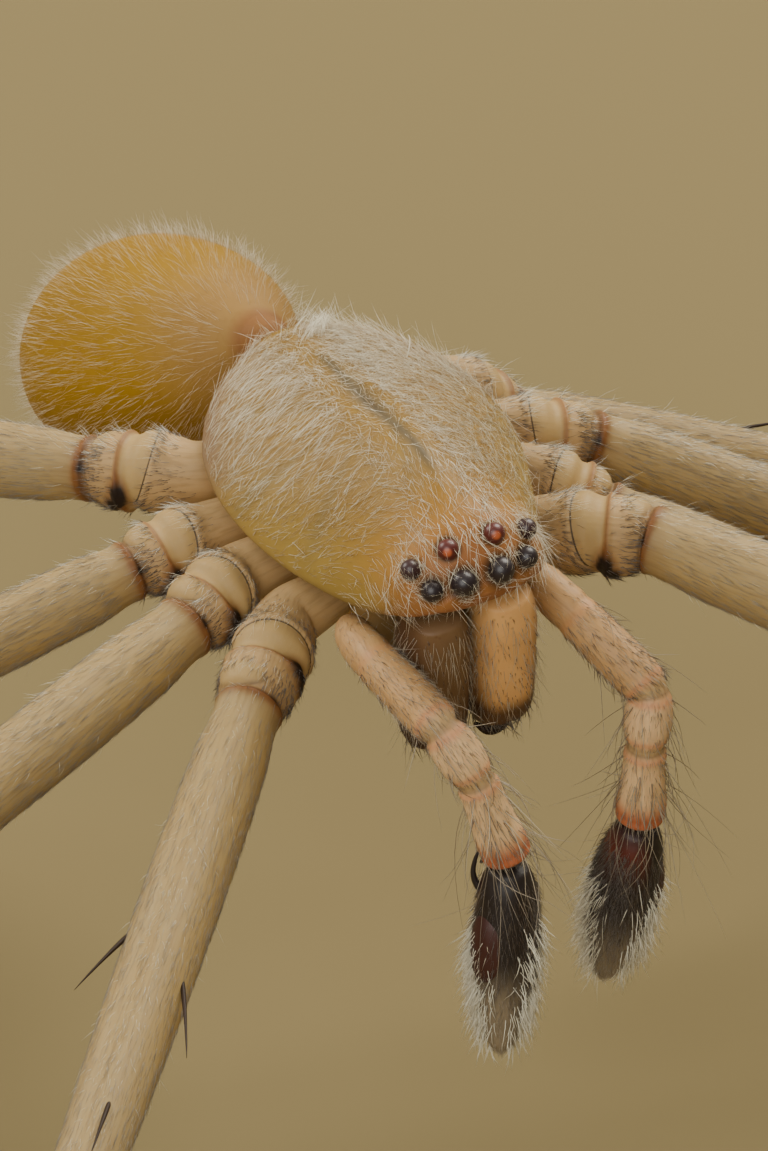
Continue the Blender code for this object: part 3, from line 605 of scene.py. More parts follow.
def skin_piece(name, skins, finish, nodes=()):
    """One piece from several closed skins, with all their masks."""
    points, blocks, start = [], [], 0
    for skin in skins:
        some, faces = skin.arrays(start)
        points.append(some)
        blocks.extend(faces)
        start += len(some)
    mesh = mesh_of(name, np.vstack(points), blocks)
    for mask in sorted({key for skin in skins for key in skin.masks}):
        keep_mask(mesh, mask, np.concatenate([skin.values(mask) for skin in skins]))
    if skins[0].unrolled is not None:
        keep_unrolled(mesh, skins)
    piece(name, mesh, finish, nodes)


class Coat:
    """Tapered closed hairs joined into one mesh.

    The point at t of a hair is root + length * (t * stand + t * t * bend). Its rings have three corners
    and its tip is a point. In the hair map each hair is a small patch at its root's share along and
    round the skin.
    """

    def __init__(self, name, chance):
        self.name, self.chance = name, chance
        self.points, self.faces, self.patches, self.tints = [], [], [], []
        self.start = 0

    def grow(self, skin, count, weight, long, lean, half, tint=0.0, bend=0.35, stray=0.2, rings=2,
             flow=None, tile=(0.0, 1.0)):
        """Hairs strewn over a skin. A pair for length, lean in degrees or tint is drawn from evenly.

        They lie along the skin, in one direction of the body, or as a function of their roots says.
        """
        roots = skin.scatter(count, self.chance, weight)
        if flow is None:
            flow = roots.along
        elif callable(flow):
            flow = flow(roots)
        else:
            flow = turned(np.tile(flow, (roots.count, 1)))
        long, lean, tint = (
            self.chance.uniform(*value, roots.count) if isinstance(value, tuple) else value
            for value in (long, lean, tint)
        )
        self.add(roots, flow, long, lean, half, tint, bend, stray, rings, tile)

    def add(self, roots, flow, length, lean_deg, half, tint, bend, stray, rings=2, tile=(0.0, 1.0)):
        count, chance, normal = roots.count, self.chance, roots.normal
        flow = flow - np.sum(flow * normal, axis=1, keepdims=True) * normal
        flow = unit(unit(flow) + stray * chance.normal(size=(count, 3)))
        flow = unit(flow - np.sum(flow * normal, axis=1, keepdims=True) * normal)
        lean = np.radians(np.broadcast_to(lean_deg, count))[:, None]
        stand = np.cos(lean) * flow + np.sin(lean) * normal
        turn = bend * (0.6 * np.sin(lean) * (flow - normal) + 0.35 * chance.normal(size=(count, 3)))
        long = np.broadcast_to(length, count)[:, None, None]
        t = np.linspace(0.0, 1.0, rings + 1)[None, :, None]
        wide = np.broadcast_to(half, count)[:, None]
        depth = np.minimum(SUNK, ROOT_SHARE * long[:, 0] * np.sin(lean)) + 0.5 * wide
        foot = (roots.point - depth * normal)[:, None]
        path = foot + long * (t * stand[:, None] + t * t * turn[:, None])
        tangent = unit(stand[:, None] + 2 * t * turn[:, None])
        side = unit(np.cross(tangent, normal[:, None] + 0.01 * flow[:, None]))
        other = np.cross(tangent, side)
        thick = (wide[:, None] * (1 - HAIR_TAPER * t**1.4))[:, :-1]
        angle = around(HAIR_CORNERS)[None, None, :, None]
        ring = (
            path[:, :-1, None]
            + (thick * side[:, :-1])[:, :, None] * np.cos(angle)
            + (thick * other[:, :-1])[:, :, None] * np.sin(angle)
        )
        points = np.concatenate([ring.reshape(count, rings * HAIR_CORNERS, 3), path[:, -1:]], axis=1)
        points[..., 2] = np.maximum(points[..., 2], HAIR_OVER_FLOOR)
        size = rings * HAIR_CORNERS + 1
        faces = hair_faces(rings)[None] + (np.arange(count) * size)[:, None, None] + self.start
        local = [(s / HAIR_CORNERS, r / rings) for r in range(rings) for s in range(HAIR_CORNERS)]
        low, high = tile
        place = np.stack([low + (high - low) * roots.share, roots.round], axis=-1)
        patch = place[:, None] + HAIR_PATCH * np.array([*local, (0.5, 1.0)])[None]
        self.points.append(points.reshape(-1, 3))
        self.faces.append(faces.reshape(-1, 3))
        self.patches.append(patch.reshape(-1, 2))
        self.tints.append(np.repeat(np.broadcast_to(tint, count), size))
        self.start += count * size

    def build(self, finish, slot):
        faces = np.vstack(self.faces)
        mesh = mesh_of(self.name, np.vstack(self.points), [faces])
        layer = mesh.uv_layers.new(name="OFBake")
        layer.data.foreach_set("uv", np.vstack(self.patches)[faces.ravel()].ravel().astype(np.float32))
        keep_mask(mesh, "tint", np.concatenate(self.tints))
        piece(self.name, mesh, finish)


def hair_faces(rings):
    """The corners of one hair's triangles: its root, the bands between its rings and its tip."""
    shape = [(0, 2, 1)]
    for first in range(0, (rings - 1) * HAIR_CORNERS, HAIR_CORNERS):
        for s in range(HAIR_CORNERS):
            a, b = first + s, first + (s + 1) % HAIR_CORNERS
            shape += [(a, b, b + HAIR_CORNERS), (a, b + HAIR_CORNERS, a + HAIR_CORNERS)]
    last, tip = (rings - 1) * HAIR_CORNERS, rings * HAIR_CORNERS
    shape += [(last + s, last + (s + 1) % HAIR_CORNERS, tip) for s in range(HAIR_CORNERS)]
    return np.array(shape)


def rounded_line(joints, reach, gap):
    """Points every gap along the line through the joints, averaged over a bell of the given reach."""
    lengths = np.concatenate([[0.0], np.cumsum(np.linalg.norm(np.diff(joints, axis=0), axis=1))])
    wide = int(3 * reach / gap)
    places = np.arange(-wide, int(lengths[-1] / gap) + 1 + wide) * gap
    first, last = unit(joints[1] - joints[0]), unit(joints[-1] - joints[-2])
    line = np.column_stack([np.interp(places, lengths, joints[:, k]) for k in range(3)])
    line += np.minimum(places, 0.0)[:, None] * first
    line += np.maximum(places - lengths[-1], 0.0)[:, None] * last
    weights = bell(np.arange(-wide, wide + 1) * gap, reach)
    weights /= weights.sum()
    line = np.column_stack([np.convolve(line[:, k], weights, "valid") for k in range(3)])
    return places[wide:-wide], line, lengths


def sections_along(sections, lengths, scale):
    """The tables of all segments as one: distance along the limb, half width, half height."""
    return np.array([
        (start + share * (end - start), wide * scale, tall * scale)
        for table, start, end in zip(sections, lengths, lengths[1:])
        for share, wide, tall in table
    ])


def tube(line, halves, up, columns, front_sign=1.0):
    """A grid round a line: centre + cos(a) * half width * front + sin(a) * half height * lift."""
    tangent = unit(np.gradient(line, axis=0))
    across = unit(np.cross(tangent, up))
    lift = np.cross(across, tangent)
    angle = around(columns)[None, :, None]
    return (
        line[:, None]
        + front_sign * np.cos(angle) * (across * halves[:, :1])[:, None]
        + np.sin(angle) * (lift * halves[:, 1:2])[:, None]
    )


def spike(points, halves, columns, rows):
    """A smooth tapered horn through a few points: a tube whose half thickness is smoothed with them."""
    points = np.asarray(points, float)
    table = np.column_stack([np.linspace(0, 1, len(points)), points, halves])
    fine = smooth(table, np.linspace(0, 1, rows))
    half = np.maximum(fine[:, 3:], 0.001)
    up = np.eye(3)[np.argmin(np.abs((points[-1] - points[0])))]
    return Skin(tube(fine[:, :3], np.hstack([half, half]), up, columns))


def unrolled(places, halves, columns):
    """The limb laid straight: (cos a, sin a) times its half width, and the distance along it."""
    turn = around(columns)[None, :]
    wide = halves[:, :1]
    return np.stack([wide * np.cos(turn), wide * np.sin(turn), places[:, None] + 0 * turn], axis=-1)


class Field:
    """A shader value: arithmetic on it adds Math nodes."""

    def __init__(self, graph, socket):
        self.graph, self.socket = graph, socket

    def math(self, operation, first, second):
        return self.graph.node("ShaderNodeMath", {"operation": operation}, {0: first, 1: second})

    def __add__(self, other):
        return self.math("ADD", self, other)

    __radd__ = __add__

    def __sub__(self, other):
        return self.math("SUBTRACT", self, other)

    def __rsub__(self, other):
        return self.math("SUBTRACT", other, self)

    def __mul__(self, other):
        return self.math("MULTIPLY", self, other)

    __rmul__ = __mul__


class Graph:
    """A material whose nodes are added one call at a time."""

    def __init__(self, name):
        self.material = bpy.data.materials.new(name)
        self.material.use_nodes = True
        self.tree = self.material.node_tree
        self.shader = self.tree.nodes["Principled BSDF"]

    def node(self, kind, settings=None, sockets=None, output=0):
        """One node: its settings first, then each socket's value or link, and one of its outputs."""
        made = self.tree.nodes.new(kind)
        for name, value in (settings or {}).items():
            setattr(made, name, value)
        for name, value in (sockets or {}).items():
            self.set(made, name, value)
        return Field(self, made.outputs[output])

    def set(self, node, name, value):
        if isinstance(value, Field):
            self.tree.links.new(value.socket, node.inputs[name])
        else:
            node.inputs[name].default_value = value

    def mask(self, name, output="Fac"):
        return self.node("ShaderNodeAttribute", {"attribute_name": name}, output=output)

    def clouds(self, place, scale, detail, roughness, stretch=None):
        """Noise at a place, which may be stretched first."""
        if stretch:
            place = self.node("ShaderNodeMapping", {}, {"Vector": place, "Scale": stretch})
        sockets = {"Vector": place, "Scale": scale, "Detail": detail, "Roughness": roughness}
        return self.node("ShaderNodeTexNoise", {}, sockets)

    def noise(self, per_mm, detail=3.0, stretch=None):
        """Clouds on object coordinates, with so many to a millimetre."""
        place = self.node("ShaderNodeTexCoord", output="Object")
        return self.clouds(place, per_mm / MM, detail, 0.55, stretch)

    def streaks(self, per_mm):
        """Clouds drawn out along a limb."""
        place = self.mask("unrolled", "Vector")
        return self.clouds(place, per_mm, 2.0, 0.5, (1.0, 1.0, STREAK_DRAWN_OUT))

    def dots(self, per_mm, size):
        """Round dots on object coordinates: 1 in the middle of a dot, 0 past its rim."""
        place = self.node("ShaderNodeTexCoord", output="Object")
        sockets = {"Vector": place, "Scale": per_mm / MM, "Randomness": 0.8}
        return self.clamp(1.0 - self.node("ShaderNodeTexVoronoi", {}, sockets, "Distance") * size)

    def mix(self, factor, first, second):
        return self.node("ShaderNodeMix", {"data_type": "RGBA"}, {0: factor, 6: first, 7: second}, 2)

    def clamp(self, value):
        return self.node("ShaderNodeClamp", {}, {"Value": value})

    def layers(self, under, *covers):
        """Colours over each other: each cover is a mask's name or a value, its strength and colour."""
        colour = paint(under)
        for cover, strength, over in covers:
            factor = self.mask(cover) if isinstance(cover, str) else cover
            colour = self.mix(factor if strength == 1 else factor * strength, colour, paint(over))
        return colour

    def bump(self, height, strength, distance):
        sockets = {"Height": height, "Strength": strength, "Distance": distance * MM}
        return self.node("ShaderNodeBump", {}, sockets)

    def finish(self, **sockets):
        for name, value in sockets.items():
            self.set(self.shader, name.replace("_", " "), value)
        return self.material


def srgb(red, green, blue):
    """A screen colour of 0 to 255 as linear light: ((c + 0.055) / 1.055) ** 2.4 above the toe."""
    values = []
    for part in (red, green, blue):
        c = part / 255
        values.append(c / 12.92 if c <= 0.04045 else ((c + 0.055) / 1.055) ** 2.4)
    return (*values, 1.0)


def paint(colour):
    """A colour that the user can change, by its name, or a screen colour."""
    if isinstance(colour, str):
        return tuple(getattr(bpy.context.scene.spider_colours, colour))
    return srgb(*colour)


def colour_property(name, description, default):
    """A colour that the user can change, given as a screen colour."""
    more = {"name": name, "description": description, "default": srgb(*default)}
    return bpy.props.FloatVectorProperty(subtype="COLOR", size=4, min=0, max=1, **more)


def number(name, description, default, least, **more):
    """A number that the user can change, and the least it can be."""
    more.update(name=name, description=description, default=default, min=least)
    return bpy.props.FloatProperty(**more)


def whole(name, description, default):
    """A count that the user can change."""
    return bpy.props.IntProperty(name=name, description=description, default=default, min=10)


class SpiderColours(bpy.types.PropertyGroup):
    carapace: colour_property("Carapace", "Carapace, upper side", (142, 110, 48))
    flank: colour_property("Flank", "Carapace, low at the front", (150, 122, 58))
    brow: colour_property("Brow", "Skin between the eyes", (160, 96, 56))
    belly: colour_property("Underside", "Sternum, coxae from below and mouth parts", (184, 152, 98))
    base: colour_property("Leg base", "Coxa and trochanter", (182, 148, 100))
    leg: colour_property("Leg", "Femur and beyond", (162, 138, 94))
    # Painted light: the golden glow stands in for light shining through a leg
    glow: colour_property("Leg glow", "Golden streaks where light comes through a leg", (190, 146, 50))
    membrane: colour_property("Joint skin", "Bare skin in the joints", (176, 146, 94))
    rim: colour_property("Joint rim", "Orange-brown rims of the joints", (112, 60, 18))
    dark: colour_property("Dark", "Black joint knobs, lines and spines", (38, 27, 20))
    abdomen: colour_property("Abdomen", "Skin of the abdomen", (146, 108, 8))
    chelicera: colour_property("Chelicera", "Front of the chelicerae", (232, 178, 112))
    palp: colour_property("Palp", "Femur of the palps", (194, 152, 100))
    palp_end: colour_property("Palp end", "Patella and tibia of the palps", (232, 192, 140))
    cymbium: colour_property("Cymbium", "End of the palps", (34, 24, 19))
    hair: colour_property("Silk hair", "White silky hair", (240, 233, 208))
    hair_warm: colour_property("Warm hair", "Honey-coloured hair", (174, 134, 66))
    bristle: colour_property("Bristle", "Dark short hair", (66, 47, 28))
    floor: colour_property("Floor", "Plain pale floor", (120, 104, 64))


class SpiderHair(bpy.types.PropertyGroup):
    carapace_hairs: whole("Carapace hairs", "How many long hairs the carapace carries", 8500)
    abdomen_hairs: whole("Abdomen hairs", "How many hairs the abdomen carries", 8000)
    leg_hairs: number("Leg hair density", "Multiplies the hairs of every leg", 1.0, 0.01)
    palp_hairs: number("Palp hair density", "Multiplies the hairs of both palps", 1.0, 0.01)
    fine: number("Fine hair", "Half thickness of a silky hair, in millimetres", 0.0016, 0.0001)
    coarse: number("Coarse hair", "Half thickness of a bristle, in millimetres", 0.0034, 0.0001)


class SpiderStage(bpy.types.PropertyGroup):
    floor_size: number("Floor", "Width of the floor", 0.6, 0.01, unit="LENGTH")
    back_light: number("Back light", "Strength of the lights behind the spider", 0.120, 0.0)
    front_light: number("Front light", "Strength of the wide light in front", 0.110, 0.0)
    room_light: number("Room light", "Strength of the even light all round", 0.124, 0.0)


def hair_sizes():
    return bpy.context.scene.spider_hair


def look(name):
    """The named finish, made once."""
    return bpy.data.materials.get(name) or FINISHES[name](Graph(name))


def flesh(graph, colour, roughness, grain, weight):
    """Skin that lets a little light through, with fine grain in its bump."""
    return graph.finish(
        Base_Color=colour,
        Roughness=roughness,
        Specular_IOR_Level=0.25,
        Subsurface_Weight=weight,
        Subsurface_Radius=(0.9, 0.66, 0.36),
        Subsurface_Scale=0.05 * MM,
        Normal=graph.bump(grain, 0.35, 0.006),
    )


def carapace_finish(graph):
    """Honey colour, greener low on the flanks, red at the eyes, grey down the middle groove."""
    cloud = graph.noise(2.2, 4.0)
    fine = graph.noise(26.0)
    colour = graph.layers(
        "carapace",
        ("flank", 1, "flank"),
        (graph.clamp(cloud * 1.8 - 0.7), 0.4, (164, 134, 60)),
        ("front", 0.7, (172, 124, 46)),
        ("streak", 0.5, (112, 98, 62)),
        ("rear", 0.7, (126, 100, 84)),
        ("groove", 0.9, (84, 78, 64)),
        ("margin", 0.75, (104, 80, 48)),
        ("brow", 0.85, "brow"),
        ("socket", 1, (44, 26, 20)),
        (fine, 0.18, (150, 116, 60)),
    )
    return flesh(graph, colour, 0.42 + 0.2 * fine, fine, 0.30)


def leg_finish(graph):
    """Straw colour with golden streaks along it, painted light shining through the leg, rims and black
    knobs at the joints.
    """
    fine, cloud, streak = graph.noise(30.0), graph.noise(1.6), graph.streaks(48.0)
    bare = 1.0 - graph.mask("membrane")
    away = graph.mask("arc")
    line = graph.clamp(1.0 - away * away * ARC_SHARP) * graph.mask("arc_on")
    colour = graph.layers(
        "leg",
        ("base", 1, "base"),
        # Painted light: golden clouds where light shines through the leg
        (graph.clamp(cloud * 2.4 - 0.8) * graph.mask("glow"), 0.5, "glow"),
        ("membrane", 0.85, "membrane"),
        ("rim", 0.9, "rim"),
        (graph.clamp(streak * 5.0 - 2.35) * bare, 0.26, (104, 76, 44)),
        (graph.clamp(2.0 - streak * 5.0) * bare, 0.12, (204, 184, 142)),
        (fine, 0.16, (150, 118, 70)),
        (graph.clamp(line * 1.3), 0.8, "dark"),
        ("dark", 1, "dark"),
    )
    return flesh(graph, colour, 0.46 + 0.2 * fine, streak + 0.4 * fine, 0.32)


def palp_finish(graph):
    """Pinkish beige at the root, orange tan beyond the knee, orange red at the far end."""
    fine, streak = graph.noise(30.0), graph.streaks(60.0)
    colour = graph.layers(
        "palp_end",
        ("base", 1, "palp"),
        ("membrane", 0.7, "membrane"),
        ("rim", 0.8, (186, 70, 26)),
        (graph.clamp(streak * 4.2 - 1.9), 0.25, (128, 88, 56)),
        (fine, 0.2, (146, 104, 64)),
        ("dark", 1, "dark"),
    )
    return flesh(graph, colour, 0.42 + 0.15 * fine, streak + 0.4 * fine, 0.30)


def cymbium_finish(graph):
    """Black brown, red at the bulb and pale at the tip."""
    fine = graph.noise(22.0)
    colour = graph.layers("cymbium", ("red", 0.8, (104, 38, 22)), ("tip", 0.8, (150, 132, 104)))
    bump = graph.bump(fine, 0.4, 0.008)
    return graph.finish(Base_Color=colour, Roughness=0.4 + 0.25 * fine, Normal=bump)


def chelicera_finish(graph):
    """Amber in front, brown down the outer side and at the lower end, with painted shadow down the
    inner side, lengthwise shading and dots; the whole right chelicera is darkened by painted shade.
    """
    fine = graph.noise(24.0)
    long = graph.noise(7.0, 3.0, (1.0, 1.0, 0.15))
    colour = graph.layers(
        "chelicera",
        (graph.clamp(long * 2.6 - 1.05), 0.6, (208, 148, 86)),
        # Painted shade over the whole right chelicera; side and low also carry painted shadow on the
        # inner side
        ("shade", 1, (82, 62, 46)),
        ("side", 0.8, (78, 50, 30)),
        ("low", 0.88, (58, 28, 20)),
        (graph.dots(16.0, 5.0), 0.45, (90, 54, 28)),
    )
    return flesh(graph, colour, 0.40 + 0.15 * fine, fine, 0.2)


def abdomen_finish(graph):
    """Amber skin with paler clouds, brown near the waist."""
    cloud, fine = graph.noise(1.5), graph.noise(18.0)
    colour = graph.layers(
        "abdomen",
        (graph.clamp(cloud * 2.0 - 0.7), 0.55, (160, 122, 24)),
        ("waist", 0.7, (146, 112, 68)),
        ("neck", 0.8, (124, 78, 40)),
        (graph.clamp(fine * 4.0 - 2.0), 0.25, (120, 84, 30)),
    )
    return flesh(graph, colour, 0.6 + 0.2 * fine, fine, 0.04)


def underside_finish(graph):
    """Plain pale skin with orange-brown rims."""
    fine = graph.noise(20.0)
    colour = graph.layers("belly", (fine, 0.4, (176, 138, 84)), ("rim", 0.8, "rim"))
    return flesh(graph, colour, 0.5 + 0.2 * fine, fine, 0.25)


def lens_finish(graph):
    """A dark wet lens; the rear middle pair is red brown, with a painted amber highlight."""
    colour = graph.layers((26, 24, 26), ("red", 1, (84, 28, 20)), ("lit", 1, (196, 96, 48)))
    return graph.finish(Base_Color=colour, Roughness=0.45, Coat_Weight=0.22, Coat_Roughness=0.24)


def horn_finish(graph):
    """Black-brown horn of spines, claws and fangs."""
    fine = graph.noise(30.0, 2.0)
    colour = graph.layers("dark", (fine, 0.3, (74, 50, 32)))
    return graph.finish(Base_Color=colour, Roughness=0.45 + 0.2 * fine, Specular_IOR_Level=0.2)


def hair_finish(first, second):
    """Hair between two colours, by each hair's own tint."""
    def make(graph):
        colour = graph.layers(first, ("tint", 1, second))
        return graph.finish(Base_Color=colour, Roughness=0.45, Sheen_Weight=0.25, Sheen_Roughness=0.4)

    return make


FINISHES = {
    "Carapace": carapace_finish,
    "Leg skin": leg_finish,
    "Palp skin": palp_finish,
    "Cymbium": cymbium_finish,
    "Chelicera": chelicera_finish,
    "Abdomen": abdomen_finish,
    "Underside": underside_finish,
    "Lens": lens_finish,
    "Horn": horn_finish,
    "Silk hair": hair_finish("hair", "hair_warm"),
    "Golden hair": hair_finish("hair", (170, 120, 26)),
    "Leg hair": hair_finish("hair", "bristle"),
    "Dark hair": hair_finish("bristle", (196, 178, 146)),
}


def carapace_rays(x, y, width, near, far):
    """Streaks out from the middle groove: a bell of sin(4 * bearing), between two distances."""
    bearing = np.arctan2(x, FOVEA_Y - 0.1 - y)
    out = np.hypot(x, y - FOVEA_Y)
    return bell(np.sin(4.0 * bearing + 0.6), width) * step(*near, out) * (1 - step(*far, out))


def carapace_skin():
    """Arched sections along the body: x = half * cos^k, z = rim + (top - rim) * sin^k.

    Each end is closed by rings that shrink as cos(turn) and bulge out as sin(turn).
    """
    first, last = CARAPACE[0][0], CARAPACE[-1][0]
    share = 0.35 * eased(CARAPACE_ROWS) + 0.65 * np.linspace(0, 1, CARAPACE_ROWS)
    places = first + share * (last - first)
    half, rim, top, steep = smooth(CARAPACE, places).T[..., None]
    arch = np.linspace(0, math.pi, CARAPACE_TOP_COLUMNS + 1)
    belly = np.linspace(math.pi, 2 * math.pi, CARAPACE_BELLY_COLUMNS + 1)[1:-1]
    across = np.sign(np.cos(arch)) * np.abs(np.cos(arch)) ** steep
    across = np.hstack([across, np.tile(np.cos(belly), (CARAPACE_ROWS, 1))])
    above = np.hstack([np.abs(np.sin(arch)) ** steep, np.zeros((CARAPACE_ROWS, len(belly)))])
    below = np.concatenate([np.zeros(len(arch)), np.sin(belly)])
    lift = np.concatenate([np.abs(np.sin(arch)) ** 0.9, np.zeros(len(belly))])
    x = half * across
    z = rim + (top - rim) * above + CARAPACE_BELLY * below
    y = np.repeat(places[:, None], x.shape[1], axis=1)
    groove = bell(y - FOVEA_Y, FOVEA_LENGTH) * bell(x, FOVEA_WIDTH)
    slit = bell(y - FOVEA_Y, SLIT_LENGTH) * bell(x, SLIT_WIDTH)
    rays = carapace_rays(x, y, 0.35, (0.18, 0.42), (0.75, 1.0))
    z = z - (FOVEA_DEPTH * groove + SLIT_DEPTH * slit + RAYS_DEPTH * rays) * step(0.4, 0.7, lift)
    body = np.stack([x, y, z], axis=-1)
    turn = np.linspace(0, math.pi / 2, CARAPACE_END_ROWS + 1)[:0:-1]
    caps = []
    for ring, bulge in zip((body[0], body[-1]), CARAPACE_BULGES):
        middle = ring.mean(axis=0)
        cap = middle + np.cos(turn)[:, None, None] * (ring - middle)[None]
        cap[..., 1] += bulge * np.sin(turn)[:, None]
        caps.append(cap)
    body = np.concatenate([caps[0], body, caps[1][::-1]])
    skin = Skin(placed(body))
    x, y, z = np.moveaxis(body, -1, 0)
    skin.lift = lift = np.tile(lift, (len(body), 1))
    rays = carapace_rays(x, y, 0.30, (0.15, 0.40), (0.7, 1.0))
    skin.masks = {
        "flank": step(0.80, 0.35, lift) * bell(y + 0.75, 0.75),
        "brow": bell(y + 1.46, 0.26) * bell(x, 0.75) * step(0.02, 0.25, z),
        "groove": bell(x, 0.034 + 0.03 * bell(y, 0.35)) * step(-1.02, -0.75, y) * step(0.75, 0.45, y),
        "front": bell(y + 1.20, 0.32) * step(0.2, 0.7, lift),
        "rear": step(-0.1, 0.5, y) * step(0.75, 0.3, lift),
        "margin": bell(lift, 0.10),
        "streak": rays * (0.5 + 0.5 * step(0.9, 0.5, lift)),
        "socket": eye_rings(body),
    }
    return skin, body


def eye_places():
    """Each eye: its kind, side, middle and radius."""
    for kind, (x, y, z, radius) in EYES.items():
        for side, sign in SIDES.items():
            yield kind, side, np.array([sign * x, y, z]), radius


def eye_rings(body):
    """Dark skin round each eye, by the distance from it."""
    dark = np.zeros(body.shape[:2])
    for kind, _, place, radius in eye_places():
        away = np.linalg.norm(body - place, axis=-1)
        spread = 1.5 if kind == "rear_median" else 1.85
        dark = np.maximum(dark, 0.9 * (1 - step(radius, spread * radius, away)))
    return dark


def carapace_flow(roots):
    """The lie of the carapace's hair: up the flanks and forward, then to the eyes."""
    x, y, _ = in_body(roots.point).T
    side = step(0.08, 0.42, np.abs(x))
    head = step(0.85, 1.25, -y)
    across = -np.sign(x) * side * (1 - 0.75 * head)
    forward = -(1 - 0.62 * side) * (1 - head) - head
    rise = 0.35 * side * (1 - head) - 0.25 * head
    return turned(np.column_stack([across, forward, rise]))


class SPIDER_OT_carapace(bpy.types.Operator):
    """Adds the carapace and its white silky coat"""

    bl_idname = "spider.carapace"
    bl_label = "Carapace"

    def execute(self, context):
        skin, body = carapace_skin()
        skin_piece("skin_carapace", [skin], "Carapace", ("carapace",))
        chance = np.random.default_rng(SEEDS["carapace"])
        size = hair_sizes()
        fine, many = size.fine, size.carapace_hairs
        x, y, z = np.moveaxis(body, -1, 0)
        free = 1 - 0.97 * (eye_rings(body) > 0.3)
        top = step(0.02, 0.10, skin.lift) * free * step(-1.47, -1.36, y)
        weight = top * (0.7 + 0.5 * step(-0.3, 0.6, y)) * (1 - 0.6 * step(-0.6, -1.3, y))
        weight = weight * (1 - 0.8 * skin.masks["groove"]) * (1 - 0.5 * skin.masks["flank"])
        worn = 0.4 * skin.masks["rear"] * step(0.1, -0.2, x)
        weight = weight * (0.8 + 0.6 * step(-0.1, 0.3, x)) * (1 - worn)

        coat = Coat("coat_carapace", chance)
        roots = skin.scatter(many, chance, weight)
        at = in_body(roots.point)
        whiter = 0.5 * step(-0.7, 0.4, at[:, 1]) + 0.5 * step(-0.2, 0.2, at[:, 0])
        length = chance.uniform(0.12, 0.25, roots.count) * (0.85 + 0.2 * whiter)
        lean = chance.uniform(3, 15, roots.count)
        tint = chance.uniform(0, 1, roots.count) ** (1.2 + 1.6 * whiter)
        tangled = 0.14 + 0.30 * step(-0.1, 0.3, at[:, :1])
        coat.add(roots, carapace_flow(roots), length, lean, 0.85 * fine, tint, 0.7, tangled, 3)
        coat.build("Silk hair", "carapace")

        down = Coat("down_carapace", chance)
        down.grow(skin, 1.2 * many, weight, (0.05, 0.12), (4, 14), 0.8 * fine, (0.6, 1.0), 0.4,
                  flow=carapace_flow)
        down.build("Silk hair", "carapace")

        ruff = Coat("coat_brow", chance)
        near = free * bell(y + 1.30, 0.20) * step(0.35, 0.6, skin.lift)
        ruff.grow(skin, 230, near, (0.14, 0.26), (10, 30), fine, (0, 0.5), 0.7, 0.35, 3, carapace_flow)
        rear = step(0.1, 0.8, y) * step(-0.1, 0.1, z) * (1 + step(0, 0.3, x)) + 0.15 * top
        ruff.grow(skin, 420, rear, (0.10, 0.20), (20, 50), fine, 0.1, 0.6, 0.3, 3, carapace_flow)
        crest = bell(x - 0.10, 0.10) * bell(y - 0.86, 0.07) * step(0.3, 0.6, skin.lift)
        ruff.grow(skin, 60, crest, (0.12, 0.2), (50, 75), 1.2 * fine, 0.0, 0.4, 0.2, 3, (0.1, 0.2, 0.3))
        away = np.linalg.norm(body - np.array(LONE_HAIR_AT), axis=2)
        lone = np.argmin(away + 9.0 * (skin.lift < 0.2))
        row, column = np.divmod(np.array([lone]), x.shape[1])
        roots = Roots(skin, row, column, np.zeros(1), np.zeros(1))
        ruff.add(roots, turned([(0.6, 0.5, 0.6)]), 0.28, 80, 3.0 * fine, 0.0, 0.5, 0.0, 9)
        hem = free * bell(y + 1.50, 0.07) * step(0.30, 0.02, skin.lift) * step(0.10, 0.22, z)
        ruff.grow(skin, 100, hem, (0.08, 0.16), (10, 30), 0.8 * fine, (0, 0.6), 0.5, 0.2, 3,
                  (0.0, -0.1, -1.0))
        ruff.build("Silk hair", "carapace")
        return {"FINISHED"}


